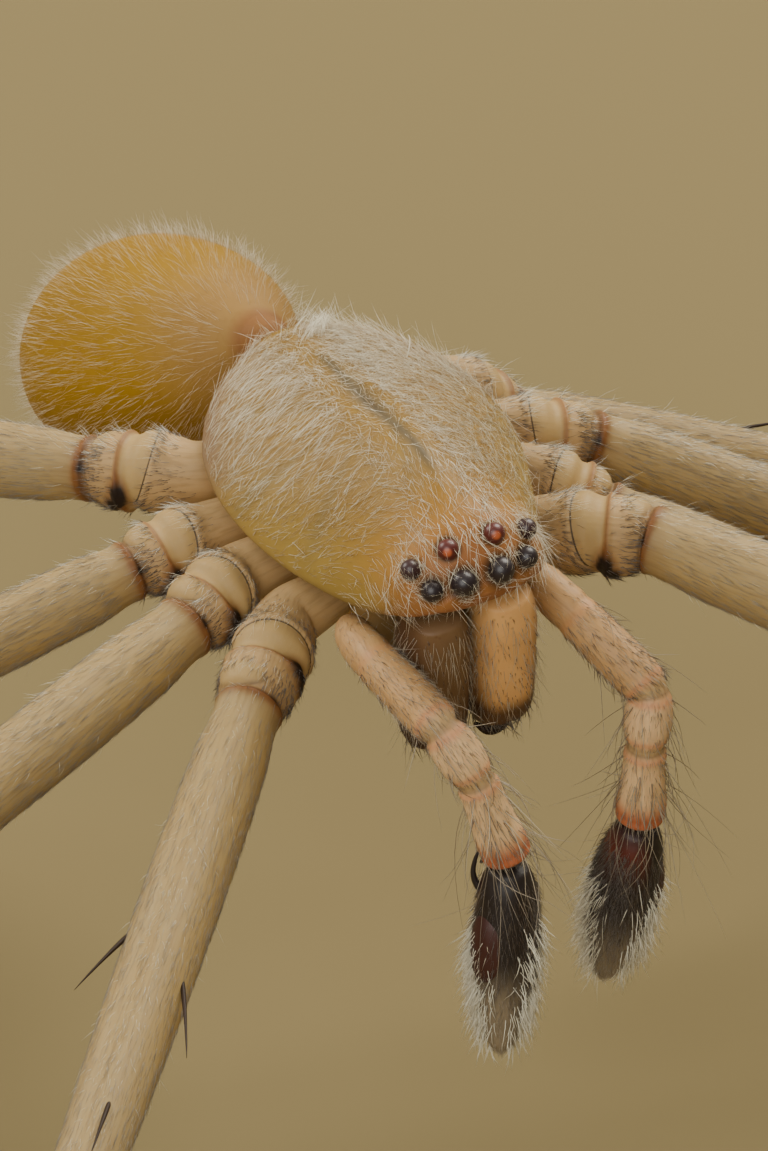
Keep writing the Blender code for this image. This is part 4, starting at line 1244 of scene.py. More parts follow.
class SPIDER_OT_eyes(bpy.types.Operator):
    """Adds the eight lenses, each a ball sunk into the head, and the hair round them"""

    bl_idname = "spider.eyes"
    bl_label = "Eyes"

    def execute(self, context):
        skin, body = carapace_skin()
        flat = body.reshape(-1, 3)
        normals = skin.normal.reshape(-1, 3)
        rows, columns = LENS_GRID
        tilt = np.radians(np.linspace(-35, 89, rows))[:, None, None]
        angle = around(columns)[None, :, None]
        for kind, side, place, radius in eye_places():
            near = np.argsort(np.linalg.norm(flat - place, axis=1))[:12]
            out = unit(normals[near].mean(axis=0))
            centre = placed(flat[near[0]]) + (1 - EYE_SUNK - 0.25) * radius * out
            first = unit(np.cross(out, UP))
            second = np.cross(out, first)
            ball = np.cos(tilt) * (np.cos(angle) * first + np.sin(angle) * second) + np.sin(tilt) * out
            lens = Skin(centre + radius * ball)
            # Painted highlight: an amber spot on each rear middle lens, on the part that faces this way
            lit = unit(out + turned((-0.35, -0.6, -0.1)))
            lens.masks = {
                "red": {"rear_median": 1.0, "rear_lateral": 0.3}.get(kind, 0.10),
                "lit": 0.85 * (kind == "rear_median") * step(0.86, 0.99, ball @ lit),
            }
            name = f"{kind}_{side}"
            skin_piece("lens_" + name, [lens], "Lens", ("eye_" + name,))

        ringed = [(place, radius) for kind, _, place, radius in eye_places() if kind != "rear_median"]
        near = np.zeros(body.shape[:2])
        for place, radius in ringed:
            away = np.linalg.norm(body - place, axis=-1)
            near = np.maximum(near, bell(away - 1.35 * radius, 0.35 * radius))
        targets = np.array([place for place, _ in ringed])

        def to_eye(roots):
            at = in_body(roots.point)
            nearest = targets[np.argmin(np.linalg.norm(at[:, None] - targets[None], axis=2), axis=1)]
            return turned(nearest - at + np.array([0.0, -0.02, 0.0]))

        coat = Coat("coat_eyes", np.random.default_rng(SEEDS["eyes"]))
        fine = 0.62 * hair_sizes().fine
        coat.grow(skin, 440, near, (0.09, 0.17), (40, 72), fine, (0.0, 0.5), 1.0, 0.35, 4, to_eye)
        coat.build("Silk hair", "carapace")
        return {"FINISHED"}


def rod_skin(start, end, halves, up):
    """A lobe with rounded ends: half * sqrt(1 - (2t - 1)^4) along its length."""
    share = eased(ROD_GRID[0])
    start, end = placed([start, end])
    swell = np.sqrt(np.clip(1 - (2 * share - 1) ** 4, 0.0006, 1))
    line = start + share[:, None] * (end - start)
    return Skin(tube(line, swell[:, None] * np.array(halves), up, ROD_GRID[1]))


def sternum_skin():
    """A squared oval section, as wide as the table says, flat below like the breast plate."""
    rows, columns = STERNUM_GRID
    places = np.linspace(STERNUM[0][0], STERNUM[-1][0], rows)[:, None]
    half = smooth(STERNUM, places[:, 0])
    across, above = squared(columns, 0.6)
    middle, tall = (STERNUM_TOP + STERNUM_BOTTOM) / 2, (STERNUM_TOP - STERNUM_BOTTOM) / 2
    taper = 0.75 + 0.25 * half / half.max()
    x, y, z = half * across, places + 0 * across, middle + tall * taper * above
    skin = Skin(placed(np.stack([x, y, z], axis=-1)))
    skin.masks = {"rim": 0.7 * bell(np.abs(across)[None] - 0.93, 0.06) * (above < 0)}
    return skin


def sides_skin():
    """The soft sides under the carapace: a low tube from head to waist, as wide as sin(share)^0.5."""
    rows, columns = SIDES_GRID
    share = np.linspace(0, 1, rows)
    core = smooth(np.column_stack([np.linspace(0, 1, len(SIDES_LINE)), SIDES_LINE]), share)
    wide = 0.62 * np.sin(math.pi * (0.08 + 0.84 * share)) ** 0.5
    wide[0], wide[-1] = 0.05, 0.05
    halves = np.column_stack([wide, 0.22 * wide / wide.max()])
    return Skin(tube(placed(core), halves, turned(UP), columns))


class SPIDER_OT_underside(bpy.types.Operator):
    """Adds the breast plate, the lip, the mouth lobes and the soft sides of the body"""

    bl_idname = "spider.underside"
    bl_label = "Underside"

    def execute(self, context):
        breast = sternum_skin()
        skin_piece("skin_sternum", [breast], "Underside", ("sternum",))
        up = turned((0.0, -1.0, 0.4))
        lobes = []
        for side, sign in SIDES.items():
            start, end = np.array(ENDITE[:2]) * (sign, 1.0, 1.0)
            lobe = rod_skin(start, end, ENDITE[2], up)
            lobe.masks = {"rim": step(0.7, 1.0, np.linspace(0, 1, ROD_GRID[0]))[:, None]}
            skin_piece("skin_endite_" + side, [lobe], "Underside", ("endite_" + side,))
            lobes.append(lobe)
        skin_piece("skin_labium", [rod_skin(*LABIUM, up)], "Underside", ("labium",))
        skin_piece("skin_sides", [sides_skin()], "Underside")
        coat = Coat("coat_underside", np.random.default_rng(SEEDS["underside"]))
        fine = hair_sizes().fine
        weight = np.clip(-breast.normal @ turned(UP), 0, 1)
        coat.grow(breast, 900, weight, (0.07, 0.13), 25, fine, (0, 1),
                  flow=(0.0, 1.0, 0.0), tile=(0.0, 0.5))
        for lobe, tile in zip(lobes, ((0.5, 0.7), (0.75, 0.95))):
            weight = np.linspace(0.2, 1, ROD_GRID[0])[:, None]
            coat.grow(lobe, 160, weight, (0.07, 0.12), 35, fine, 0.3, tile=tile)
        coat.build("Silk hair", "underside")
        return {"FINISHED"}


def chelicera_skin(side, sign):
    """Squared oval sections down the table, drawn in at both ends by a square root."""
    rows, columns = CHELICERA_GRID
    share = np.linspace(0, 1, rows)[:, None]
    table = np.column_stack([np.linspace(0, 1, len(CHELICERA)), CHELICERA])
    height, half_width, half_depth, forward = smooth(table, share[:, 0]).T[..., None]
    ends = np.sqrt(np.clip(1 - bell(share, 0.02) - bell(1 - share, 0.018), 0.002, 1))
    across, ahead = squared(columns, CHELICERA_ROUND)
    x = sign * CHELICERA_X + half_width * ends * across
    y = CHELICERA_Y - forward - half_depth * ends * ahead
    skin = Skin(placed(np.stack([x, y, height + 0 * x], axis=-1)))
    out = (x - sign * CHELICERA_X) / 0.18
    skin.front = (CHELICERA_Y - y) / 0.2
    outer = step(0.55, 1.0, sign * out)
    # Painted shadow: the inner side, where the two chelicerae meet, darker downwards and most at the
    # lower end
    inner_shadow = step(0.5, 1.0, -sign * out) * (0.4 + 0.6 * step(0.35, 0.8, share))
    low = step(-0.68, -0.84, height) + 0.5 * inner_shadow * step(-0.5, -0.8, height)
    skin.masks = {
        # The outer and back sides are brown; the inner side carries painted shadow
        "side": np.clip(np.maximum(np.maximum(outer, inner_shadow), step(0.2, -0.4, skin.front)), 0, 1),
        "low": np.clip(low, 0, 1),
        # Painted shade: the whole right chelicera is darkened
        "shade": 0.85 if side == "right" else 0.0,
    }
    return skin, share


class SPIDER_OT_chelicerae(bpy.types.Operator):
    """Adds the two chelicerae with their bristles, and the fangs"""

    bl_idname = "spider.chelicerae"
    bl_label = "Chelicerae"

    def execute(self, context):
        size = hair_sizes()
        fine, coarse, down = size.fine, size.coarse, (0.0, -0.15, -1.0)
        for side, sign in SIDES.items():
            skin, share = chelicera_skin(side, sign)
            name = "chelicera_" + side
            skin_piece("skin_" + name, [skin], "Chelicera", (name,))
            coat = Coat("coat_" + name, np.random.default_rng(SEEDS[name]))
            weight = step(-0.5, 0.3, skin.front) * (share > 0.06)
            # How many, where, length, lean in degrees, half thickness, tint, bend, stray, rings
            for count, where, *hair in (
                (300, 0.4 + share, (0.025, 0.05), (25, 50), 0.65 * coarse, 0.0, 0.2, 0.15, 2),
                (240, 1.2 - share, (0.12, 0.26), (12, 30), fine, (0.4, 1.0), 0.5, 0.2, 3),
                (120, step(0.75, 0.95, share), (0.08, 0.14), (20, 45), coarse, 0.1, 0.4, 0.3, 3),
            ):
                coat.grow(skin, count, weight * where, *hair, down)
            coat.build("Dark hair", "chelicera")
            fang = placed(np.array(FANG) * (sign, 1.0, 1.0))
            horn = spike(fang, FANG_HALF, 16, 24)
            skin_piece("horn_fang_" + side, [horn], "Horn", ("fang_" + side,))
        return {"FINISHED"}


class SPIDER_OT_abdomen(bpy.types.Operator):
    """Adds the abdomen with its waist, down and spinnerets"""

    bl_idname = "spider.abdomen"
    bl_label = "Abdomen"

    def execute(self, context):
        chance = np.random.default_rng(SEEDS["abdomen"])
        root, direction = placed(ABDOMEN_ROOT), unit(turned(ABDOMEN_DIRECTION))
        up = turned((0.0, 0.3, 1.0))
        self.bag(chance, root, direction, up)
        self.spinnerets(chance, root, direction, up)
        return {"FINISHED"}

    def bag(self, chance, root, direction, up):
        """A round tube along waist and abdomen, its radius the table's less the depth of the coat."""
        size = hair_sizes()
        front = placed(PEDICEL_FRONT)
        rows, neck_rows, columns = ABDOMEN_GRID
        share = eased(rows)
        neck_share = np.linspace(-0.12, 0.96, neck_rows)
        neck = front + neck_share[:, None] * (root - front)
        line = np.vstack([neck, root + share[:, None] * ABDOMEN_LENGTH * direction])
        neck_half = 0.09 + 0.058 * step(0.2, 1.0, neck_share)
        half = np.concatenate([neck_half, smooth(ABDOMEN, share)[:, 0] - 0.012])
        skin = Skin(tube(line, np.column_stack([half, half]), up, columns))
        along = np.concatenate([np.zeros(neck_rows), share])[:, None]
        skin.masks = {"waist": step(0.30, 0.05, along), "neck": step(0.035, 0.0, along)}
        skin_piece("skin_abdomen", [skin], "Abdomen", ("abdomen", "pedicel"))
        coat = Coat("coat_abdomen", chance)
        roots = skin.scatter(size.abdomen_hairs, chance, step(0.0, 0.06, along))
        n = roots.count
        stand = chance.random(n) < 0.5
        length = chance.uniform(0.10, 0.20, n)
        lean = np.where(stand, chance.uniform(48, 80, n), chance.uniform(10, 34, n))
        tint = np.where(stand, 0.3, chance.uniform(0.7, 1.0, n))
        coat.add(roots, roots.along, length, lean, 0.45 * size.fine, tint, 0.5, 0.2)
        coat.build("Golden hair", "abdomen")

    def spinnerets(self, chance, root, direction, up):
        """A short round base and three pairs of cones on it."""
        side = unit(np.cross(direction, up))
        lift = np.cross(side, direction)
        start = root + (ABDOMEN_LENGTH + SPINNERETS_GAP) * direction
        top = start + 0.4 * SPINNERETS_BASE_LENGTH * direction
        places, swell = np.array(SPINNERETS_BASE).T
        share = np.linspace(0, 1, 12)
        line = start + (share * SPINNERETS_BASE_LENGTH - SPINNERETS_GAP)[:, None] * direction
        thick = SPINNERETS_HALF * np.interp(share, places, swell)
        skins = [Skin(tube(line, np.column_stack([thick, thick]), up, 40))]
        reach, taper = np.array(SPINNERET_CONE).T
        for out, height, length, half in SPINNERETS:
            for sign in SIDES.values():
                foot = top + sign * out * side + height * lift
                points = foot + reach[:, None] * (length * direction + 0.1 * sign * length * side)
                skins.append(spike(points, half * taper, 16, 24))
        skin_piece("skin_spinnerets", skins, "Underside", ("spinnerets",))
        coat = Coat("coat_spinnerets", chance)
        fine = hair_sizes().fine
        for k, cone in enumerate(skins[1:]):
            coat.grow(cone, 90, 1.0, (0.05, 0.09), 25, fine, (0, 0.8), tile=(k / 6, (k + 0.9) / 6))
        coat.build("Silk hair", "underside")


def palp_frame(side):
    """The palp's joints, the way along its end, the way out from it and the way down from it."""
    joints = placed(PALP_JOINTS[side])
    along = unit(joints[-1] - joints[-2])
    outer = turned((SIDES[side], 0.45, 0.0))
    outer = unit(outer - (outer @ along) * along)
    return joints, along, outer, -SIDES[side] * unit(np.cross(outer, along))


def beside(start, along, outer, places):
    """Points at so much along and so much outward from a start."""
    return [start + past * along + out * outer for past, out in places]


class SPIDER_OT_palps(bpy.types.Operator):
    """Adds both palps with their bristles, and the dark furry ends"""

    bl_idname = "spider.palps"
    bl_label = "Palps"

    def execute(self, context):
        for side in SIDES:
            self.limb(side)
            self.cymbium(side)
        return {"FINISHED"}

    def limb(self, side):
        size = hair_sizes()
        joints, along, outer, _ = palp_frame(side)
        places, line, lengths = rounded_line(joints[:-1], 0.05, 0.012)
        halves = smooth(sections_along(PALP_SECTIONS, lengths, SKIN_SHARE), places)
        for joint, depth in zip(lengths[1:5], PALP_PINCHES):
            halves *= 1 - depth * bell(places - joint, 0.028)[:, None]
            halves *= 1 + 0.25 * depth * bell(places - joint - 0.06, 0.03)[:, None]
        skin = Skin(tube(line, halves, turned((0.0, -0.75, 0.66)), PALP_COLUMNS))
        skin.unrolled = unrolled(places, halves, PALP_COLUMNS)
        femur, knee, shin, end = lengths[2:6]
        s = places[:, None]
        rim = 0.2 * bell(s - femur - 0.04, 0.03) + 1.2 * step(end - 0.24, end - 0.05, s)
        for joint in (knee, shin):
            rim = rim + 0.55 * bell(s - joint - 0.045, 0.022) + 0.5 * bell(s - joint + 0.05, 0.02)
        ring = bell(s - knee - 0.015, 0.010) + bell(s - shin - 0.015, 0.010)
        skin.masks = {
            "base": 1 - step(knee - 0.12, knee + 0.02, s),
            "rim": np.clip(rim, 0, 1),
            "dark": 0.45 * ring + 0.8 * step(end - 0.04, end, s),
            "membrane": bell(s - knee, 0.03) + bell(s - shin, 0.03),
        }
        tooth = spike(beside(joints[-2], along, outer, PALP_TOOTH), PALP_TOOTH_HALF, 12, 14)
        tooth.masks = {"dark": 1.0}
        nodes = (f"palp_{side}_femur", f"palp_{side}_tibia")
        skin_piece("skin_palp_" + side, [skin, tooth], "Palp skin", nodes)

        coat = Coat("coat_palp_" + side, np.random.default_rng(SEEDS["palp_" + side]))
        fine, coarse = size.fine, size.coarse
        on_femur = step(femur, femur + 0.05, s) * (1 - step(knee - 0.05, knee, s))
        beyond = step(knee, knee + 0.05, s)
        on_tibia = step(shin, shin + 0.06, s)
        on_knee = beyond * (1 - on_tibia) + 0.2 * on_femur
        # How many, where, length, lean in degrees, half thickness, tint, bend, stray, rings
        for count, weight, *hair in (
            (1900, 0.3 + on_femur + 0.5 * beyond, (0.05, 0.09), (5, 20), fine, (0.0, 0.7), 0.3, 0.12),
            (500, 0.2 + on_femur, (0.06, 0.11), (18, 44), 0.8 * fine, (0.7, 1.0), 0.4, 0.25),
            (60, on_femur, (0.07, 0.12), (25, 50), coarse, (0.0, 0.15), 0.3, 0.2),
            (46, on_knee, (0.16, 0.34), (25, 55), 0.8 * coarse, (0.1, 0.7), 0.9, 0.2, 5),
            (85, on_tibia, (0.32, 0.62), (18, 48), 0.8 * coarse, (0.1, 0.8), 0.9, 0.2, 7),
        ):
            coat.grow(skin, count * size.palp_hairs, weight, *hair)
        coat.build("Dark hair", "palp")

    def cymbium(self, side):
        size = hair_sizes()
        joints, along, outer, under = palp_frame(side)
        last, tip = joints[-2:]
        rows, columns = CYMBIUM_GRID
        share = eased(rows)[:, None]
        halves = smooth(CYMBIUM, share[:, 0]) * 0.95
        line = last + (0.02 + 0.98 * share) * (tip - last)
        grid = tube(line, halves, outer, columns)
        skin = Skin(grid)
        facing = (grid - line[:, None]) / halves.max()
        red_side = step(0.1, 0.8, facing @ (0.5 * outer - 0.6 * under))
        if side == "left":
            red_side = step(0.1, 0.6, facing @ -outer)
        skin.masks = {"red": bell(share - 0.14, 0.10) * red_side, "tip": step(0.42, 0.75, share)}
        outside = unit(outer + under)
        spread, thick = np.array(BULB).T
        bulb = spike(last + spread[:, None] * (tip - last) + BULB_OFFSET * outside, thick, 32, 30)
        bulb.masks = {"red": 0.35}
        spur = spike(beside(last, along, outer, PALP_SPUR), PALP_SPUR_HALF, 12, 26)
        skins = [skin, bulb, spur]
        skin_piece("skin_cymbium_" + side, skins, "Cymbium", (f"palp_{side}_cymbium",))

        chance = np.random.default_rng(SEEDS["cymbium_" + side])
        coat = Coat("coat_cymbium_" + side, chance)
        many, fine = size.palp_hairs, size.fine
        away = step(-0.7, 0.2, -(facing @ outside) / 0.9)
        roots = skin.scatter(4600 * many, chance, step(0.03, 0.12, share) * (0.35 + away))
        n = roots.count
        tipward = step(0.45, 0.8, roots.share)
        length = chance.uniform(0.07, 0.13, n) * (1 - 0.4 * tipward)
        lean = chance.uniform(12, 34, n)
        tint = np.clip(0.6 * tipward + chance.normal(0, 0.12, n), 0, 1)
        coat.add(roots, roots.along, length, lean, fine, tint, 0.4, 0.16)
        coat.build("Dark hair", "cymbium")
        fringe = Coat("fringe_cymbium_" + side, chance)
        sides = np.abs(facing @ unit(np.cross(along, camera_back()))) ** 3
        weight = (0.25 * step(0.2, 0.4, share) + step(0.5, 0.8, share)) * sides
        hair = (0.09, 0.19), (28, 58), 1.8 * fine, (0, 0.2), 0.5, 0.25, 3
        fringe.grow(skin, 1400 * many, weight, *hair)
        fringe.build("Silk hair", "cymbium")


def leg_skin(side, number):
    """A tube from the leg's socket to its tip, with rims, bare joint skin and black knobs as masks.

    Rims, knob and joint skin also stand out from the tube: point + raised * outward.
    """
    joints = leg_joints(side, number)
    places, line, lengths = rounded_line(joints, 0.07, 0.01)
    # Rows are close at the joints, wider along the femur and widest past the knee
    bends = np.abs(places[:, None] - lengths[None, 4:8]).min(axis=1) < 0.15
    every = np.where(bends, 2, np.where(places < lengths[4], 3, 6))
    every[places < lengths[3] + 0.15] = 1
    keep = np.arange(len(places)) % every == 0
    places, line = places[keep], line[keep]
    halves = smooth(sections_along(LEG_SECTIONS, lengths, SKIN_SHARE * LEG_THICKNESS[number]), places)
    hinge, start, knee = lengths[2:5]
    for joint, depth in zip(lengths[4:8], LEG_PINCHES):
        halves *= 1 - depth * bell(places - joint, 0.045)[:, None]
    grid = tube(line, halves, UP, LEG_COLUMNS, SIDES[side])
    s, a = places[:, None], np.degrees(around(LEG_COLUMNS))[None, :]

    def turn_from(middle, reach):
        """1 at the middle angle, 0 past the reach, in degrees round the leg."""
        return np.cos(np.clip(np.abs(wrapped(a - middle)) / reach, 0, 1) * math.pi / 2)

    # On top of the base a bay of bare skin lies between a dark arc and the collar of the hinge
    hinge = hinge + 0.065
    bay = turn_from(70.0, 95.0) ** 0.7
    arc = hinge - 0.045 - 0.15 * bay
    in_bay = step(0.0, 0.015, s - arc) * step(0.015, -0.01, s - hinge) * step(0.02, 0.15, bay)
    collar = step(-0.01, 0.015, s - hinge) * step(0.05, 0.02, s - hinge)
    # A black knob of two lobes sits on the hinge, in an orange halo
    from_knob = wrapped(a - KNOB_DEG[side][number - 1])
    beside_knob = np.hypot((s - hinge - 0.065) / 0.034, (from_knob + 20) / 17.0)
    from_knob = np.minimum(np.hypot((s - hinge - 0.01) / 0.050, from_knob / 23.0), beside_knob)
    knob = step(1.1, 0.75, from_knob)
    halo = step(1.9, 0.9, from_knob)
    # Before the femur: a patch of bare skin, an orange lip, two dark pins and a stain
    patch = np.hypot((s - start + 0.075) / 0.070, wrapped(a - 112) / 48.0)
    notch = step(1.05, 0.85, patch)
    patch_edge = bell(patch - 1.0, 0.09) * step(start - 0.09, start - 0.03, s)
    lip = bell(s - start - 0.030, 0.035) * (0.45 + 0.55 * turn_from(60.0, 120.0))
    pins = bell(s - start - 0.01, 0.028) * (bell((a - 28) % 360, 16.0) + bell((a - 170) % 360, 16.0))
    stain = 0.35 * bell(s - start - 0.02, 0.12) * turn_from(-10.0, 110.0)
    # The joints past the femur: a rim on both sides of bare skin
    past = [s - joint for joint in lengths[4:8]]
    beyond = sum(0.55 * bell(t - 0.05, 0.03) + 0.45 * bell(t + 0.05, 0.025) for t in past)
    skin_bays = sum(bell(t, 0.03) for t in past) * turn_from(90.0, 100.0)
    raised = 0.014 * step(0.0, -0.02, s - arc) * step(0.10, 0.03, arc - s) * step(0.05, 0.3, bay)
    raised = raised + 0.012 * in_bay * np.sin(np.clip((s - arc) / (hinge - arc), 0, 1) * math.pi)
    raised = raised + 0.016 * collar + 0.018 * knob + 0.012 * lip - 0.02 * bell(s - start + 0.005, 0.02)
    raised = raised + 0.010 * notch * (1 - patch.clip(0, 1) ** 2)
    grid = grid + raised[..., None] * unit(grid - line[:, None])
    grid[..., 2] = np.maximum(grid[..., 2], SKIN_OVER_FLOOR)
    skin = Skin(grid)
    skin.unrolled = unrolled(places, halves, LEG_COLUMNS)
    tip = step(lengths[-1] - 0.22, lengths[-1] - 0.02, s)
    rim = 0.8 * bell(s - hinge - 0.012, 0.014) + 0.7 * halo + lip + beyond + 0.25 * tip + stain
    dark = knob + 0.45 * bell(s - start - 0.012, 0.011) + 0.9 * pins + 0.5 * patch_edge + 0.75 * tip
    # Painted light: a golden glow along the femur where light shines through the leg, strongest 60
    # degrees below its front
    glow = step(start, start + 0.3, s) * step(knee, knee - 0.3, s)
    skin.masks = {
        "base": 1 - step(start - 0.04, start + 0.06, s),
        "arc": np.clip((s - arc) / ARC_REACH, -1, 1),
        "arc_on": step(0.02, 0.2, bay),
        "glow": glow * (0.35 + 0.65 * turn_from(-60.0, 110.0)),
        "membrane": np.clip(in_bay + notch + skin_bays, 0, 1),
        "rim": np.clip(rim, 0, 1),
        "dark": np.clip(dark, 0, 1),
    }
    return skin, joints, lengths, (arc, bay, s, a)


def spine_skins(side, number, joints, segment, places, chance):
    """The leg's spines on one segment, each moved, turned and lengthened a little.

    A spine's points are foot + t * length * stand + t^2 * sweep, from a root inside the leg.
    """
    start, end = joints[segment], joints[segment + 1]
    along = unit(end - start)
    across = unit(np.cross(along, UP))
    lift = np.cross(across, along)
    across = SIDES[side] * across
    share_at, *half_at = np.array(LEG_SECTIONS[segment]).T
    lean = math.radians(SPINE_LEAN_DEG)
    shares, taper = np.array(SPINE_SHAPE).T
    made = []
    varied = np.array(places) + chance.uniform(-1, 1, (len(places), 3)) * SPINE_VARIES
    for share, around_deg, length in varied:
        wide, tall = (np.interp(share, share_at, half) * LEG_THICKNESS[number] for half in half_at)
        angle = math.radians(around_deg)
        ahead, above = math.cos(angle), math.sin(angle)
        foot = start + share * (end - start) + ahead * wide * across + above * tall * lift
        out = ahead * across + above * lift
        stand = math.sin(lean) * out + math.cos(lean) * along
        reach = np.array([-SPINE_ROOT / length, *shares])[:, None]
        sweep = SPINE_SWEEP * length * along * np.clip(reach, 0, 1) ** 2
        points = foot + reach * SPINE_LONGER * length * stand + sweep
        made.append(spike(points, SPINE_HALF * np.array([1.0, *taper]), 8, 12))
    return made


class SPIDER_OT_legs(bpy.types.Operator):
    """Adds the eight legs, their hair, spines and claws"""

    bl_idname = "spider.legs"
    bl_label = "Legs"

    def execute(self, context):
        spine_chance = np.random.default_rng(SEEDS["spines"])
        for index, (side, number) in enumerate(LEG_DIRECTIONS):
            name = f"leg_{number}_{side}"
            skin, joints, lengths, bay = leg_skin(side, number)
            nodes = [f"{name}_{part}" for part in ("base", "femur", "tibia", "foot")]
            skin_piece("skin_" + name, [skin], "Leg skin", nodes)
            self.horns(name, side, number, joints, spine_chance)
            coat = Coat("coat_" + name, np.random.default_rng(SEEDS["legs"] + index))
            self.dress(coat, skin, lengths, *bay)
        return {"FINISHED"}

    def horns(self, name, side, number, joints, chance):
        skins = []
        for segment, places in SPINES.items():
            skins += spine_skins(side, number, joints, segment, places, chance)
        skin_piece("spines_" + name, skins, "Horn")
        level = np.array([1.0, 1.0, 0.0])
        along = unit((joints[-1] - joints[-2]) * level)
        across = np.cross(along, UP)
        floor = joints[-1] * level
        claws = []
        for sign in SIDES.values():
            points = floor + np.array(CLAW) * (1.0, sign, 1.0) @ np.array([along, across, UP])
            claws.append(spike(points, CLAW_HALF, 10, 16))
        skin_piece("claws_" + name, claws, "Horn")

    def dress(self, coat, skin, lengths, arc, bay, s, a):
        size = hair_sizes()
        fine = size.fine
        start, knee = lengths[3:5]
        end = lengths[-1]
        bare = 1 - np.clip(1.3 * skin.masks["membrane"], 0, 1)
        top = np.clip(np.sin(np.radians(a)), 0, 1) ** 3
        low = np.clip(-np.sin(np.radians(a)), 0, 1) ** 3
        on_base = step(lengths[1] - 0.05, lengths[1] + 0.1, s) * step(start + 0.02, start - 0.02, s)
        edge = bell(s - arc + 0.085, 0.016) * step(0.1, 0.4, bay)
        far = bell(s - start + 0.10, 0.06) * (1 - 0.6 * low)
        on_femur = step(start, start + 0.06, s) * step(knee, knee - 0.06, s)
        past_knee = step(knee - 0.05, knee + 0.05, s)
        tuft = step(end - 0.2, end - 0.05, s) * (0.3 + low)
        thin_top, edges = 1.1 - 0.5 * top, top**2 + 0.2 * low
        # How many, where, length, lean in degrees, half thickness, tint, bend, stray, rings
        for count, weight, *hair in (
            (1000, on_base * thin_top, (0.05, 0.085), (10, 28), 1.1 * fine, (0.85, 1.0), 0.3, 0.12),
            (200, on_base * top**2, (0.07, 0.14), (6, 26), 0.65 * fine, (0.0, 0.15), 0.5),
            (70, edge, (0.05, 0.09), (12, 30), 1.2 * fine, (0.9, 1.0), 0.3, 0.12),
            (170, far, (0.06, 0.12), (14, 36), 1.3 * fine, (0.9, 1.0), 0.3, 0.15),
            (5200, on_femur * thin_top, (0.09, 0.16), (2.5, 7), 0.75 * fine, (0.72, 0.9), 0.1, 0.03),
            (130, on_femur * edges, (0.08, 0.14), (7, 24), 0.6 * fine, (0.0, 0.2), 0.5, 0.14),
            (190, on_femur * (0.3 + low + top), (0.07, 0.13), (24, 52), 0.6 * fine, (0.0, 0.5), 0.5),
            (260, on_femur * top**3, (0.05, 0.10), (14, 40), 0.6 * fine, (0.0, 0.1), 0.5),
            (1700, past_knee * (1.1 - 0.3 * top), (0.08, 0.13), (4, 14), 1.2 * fine, (0.8, 1.0), 0.2,
             0.08),
            (380, past_knee, (0.09, 0.16), (16, 44), 0.9 * fine, (0.0, 0.3), 0.5),
            (60, past_knee * (0.2 + top), (0.22, 0.4), (60, 82), fine, (0.3, 0.8), 0.3, 0.1, 5),
            (150, tuft, (0.05, 0.09), (10, 40), 1.3 * fine, (0.8, 1.0), 0.3, 0.3),
        ):
            coat.grow(skin, count * size.leg_hairs, weight * bare, *hair)
        coat.build("Leg hair", "leg")


def matrix_of(x, y, z, place):
    """A transform from its three axes and its place, column by column."""
    matrix = np.eye(4)
    matrix[:, :3] = x, y, z, place
    return matrix.tolist()


def area_light(name, place, aim, width, power, colour):
    """A round soft light at a place, turned to what it lights."""
    light = bpy.data.lights.new(name, "AREA")
    light.shape = "DISK"
    light.size = width
    light.energy = power
    light.color = colour
    made = bpy.data.objects.new(name, light)
    back = unit(place - aim)
    side = unit(np.cross(UP + 0.001, back))
    made.matrix_world = matrix_of(side, np.cross(back, side), back, place)
    bpy.context.scene.collection.objects.link(made)


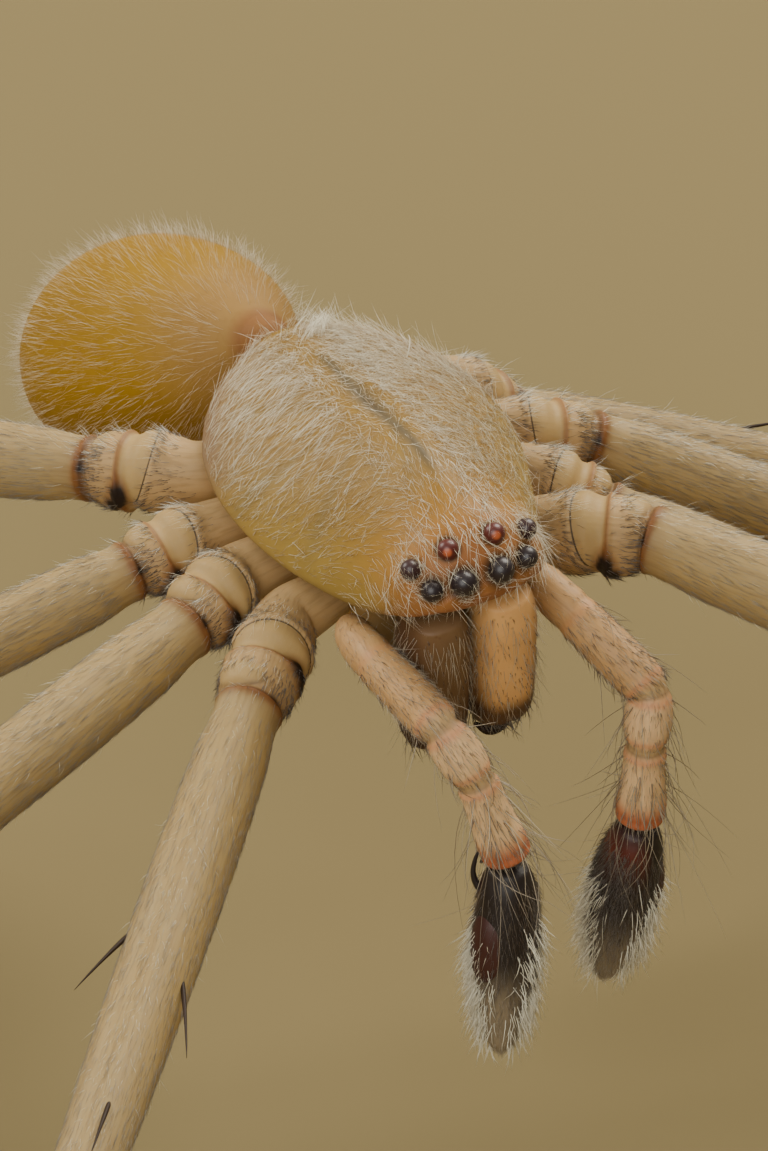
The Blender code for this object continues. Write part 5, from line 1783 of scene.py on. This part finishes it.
class SPIDER_OT_stage(bpy.types.Operator):
    """Adds the floor, the soft lights and the camera"""

    bl_idname = "spider.stage"
    bl_label = "Stage"

    def execute(self, context):
        scene, stage = context.scene, context.scene.spider_stage
        half = stage.floor_size / 2 / MM
        corners = half * np.array([(-1, -1, 0), (1, -1, 0), (1, 1, 0), (-1, 1, 0)])
        mesh = mesh_of("floor", corners, [np.array([[0, 1, 2, 3]])])
        mesh.materials.append(Graph("Floor").finish(Base_Color=paint("floor"), Roughness=0.9))
        floor = bpy.data.objects.new("floor", mesh)
        scene.collection.objects.link(floor)

        aim, back = np.array(CAMERA_LOOKS_AT) * MM, camera_back()
        right = unit(np.cross(UP, back))
        lens = bpy.data.cameras.new("Camera")
        lens.lens = SENSOR * CAMERA_AWAY / FRAME_TALL
        lens.sensor_width = lens.sensor_height = SENSOR
        lens.sensor_fit = "AUTO"
        lens.clip_start, lens.clip_end = MM, 10.0
        camera = bpy.data.objects.new("Camera", lens)
        eye = aim + CAMERA_AWAY * MM * back
        camera.matrix_world = matrix_of(right, np.cross(back, right), back, eye)
        scene.collection.objects.link(camera)
        scene.camera = camera

        ways = np.array([back * (1.0, 1.0, 0.0), back, UP, right])
        for name, strength, share, away, mixed, width, colour in LIGHTS:
            place = aim + away * unit(np.array(mixed) @ ways)
            area_light(name, place, aim, width, share * getattr(stage, strength), colour)
        scene.world = scene.world or bpy.data.worlds.new("World")
        scene.world.use_nodes = True
        sky = scene.world.node_tree.nodes["Background"]
        sky.inputs["Color"].default_value = ROOM_COLOUR
        sky.inputs["Strength"].default_value = stage.room_light
        return {"FINISHED"}


class SPIDER_PT_panel(bpy.types.Panel):
    """Lists the steps that dress the spider, and its colours"""

    bl_idname = "SPIDER_PT_panel"
    bl_label = "Spider"
    bl_space_type = "VIEW_3D"
    bl_region_type = "UI"
    bl_category = "Spider"

    def draw(self, context):
        for step_name in STEPS:
            self.layout.operator("spider." + step_name)
        for name in GROUPS:
            group = getattr(context.scene, name)
            for entry in group.__annotations__:
                self.layout.prop(group, entry)


STEPS = ("stage", "carapace", "eyes", "underside", "chelicerae", "abdomen", "palps", "legs")
GROUPS = {"spider_hair": SpiderHair, "spider_stage": SpiderStage, "spider_colours": SpiderColours}
CLASSES = (
    *GROUPS.values(),
    SPIDER_OT_stage,
    SPIDER_OT_carapace,
    SPIDER_OT_eyes,
    SPIDER_OT_underside,
    SPIDER_OT_chelicerae,
    SPIDER_OT_abdomen,
    SPIDER_OT_palps,
    SPIDER_OT_legs,
    SPIDER_PT_panel,
)


def register():
    for made in CLASSES:
        bpy.utils.register_class(made)
    for name, group in GROUPS.items():
        setattr(bpy.types.Scene, name, bpy.props.PointerProperty(type=group))


def unregister():
    for name in GROUPS:
        delattr(bpy.types.Scene, name)
    for made in reversed(CLASSES):
        bpy.utils.unregister_class(made)


def main():
    register()
    for step_name in STEPS:
        getattr(bpy.ops.spider, step_name)()


if __name__ == "__main__":
    main()
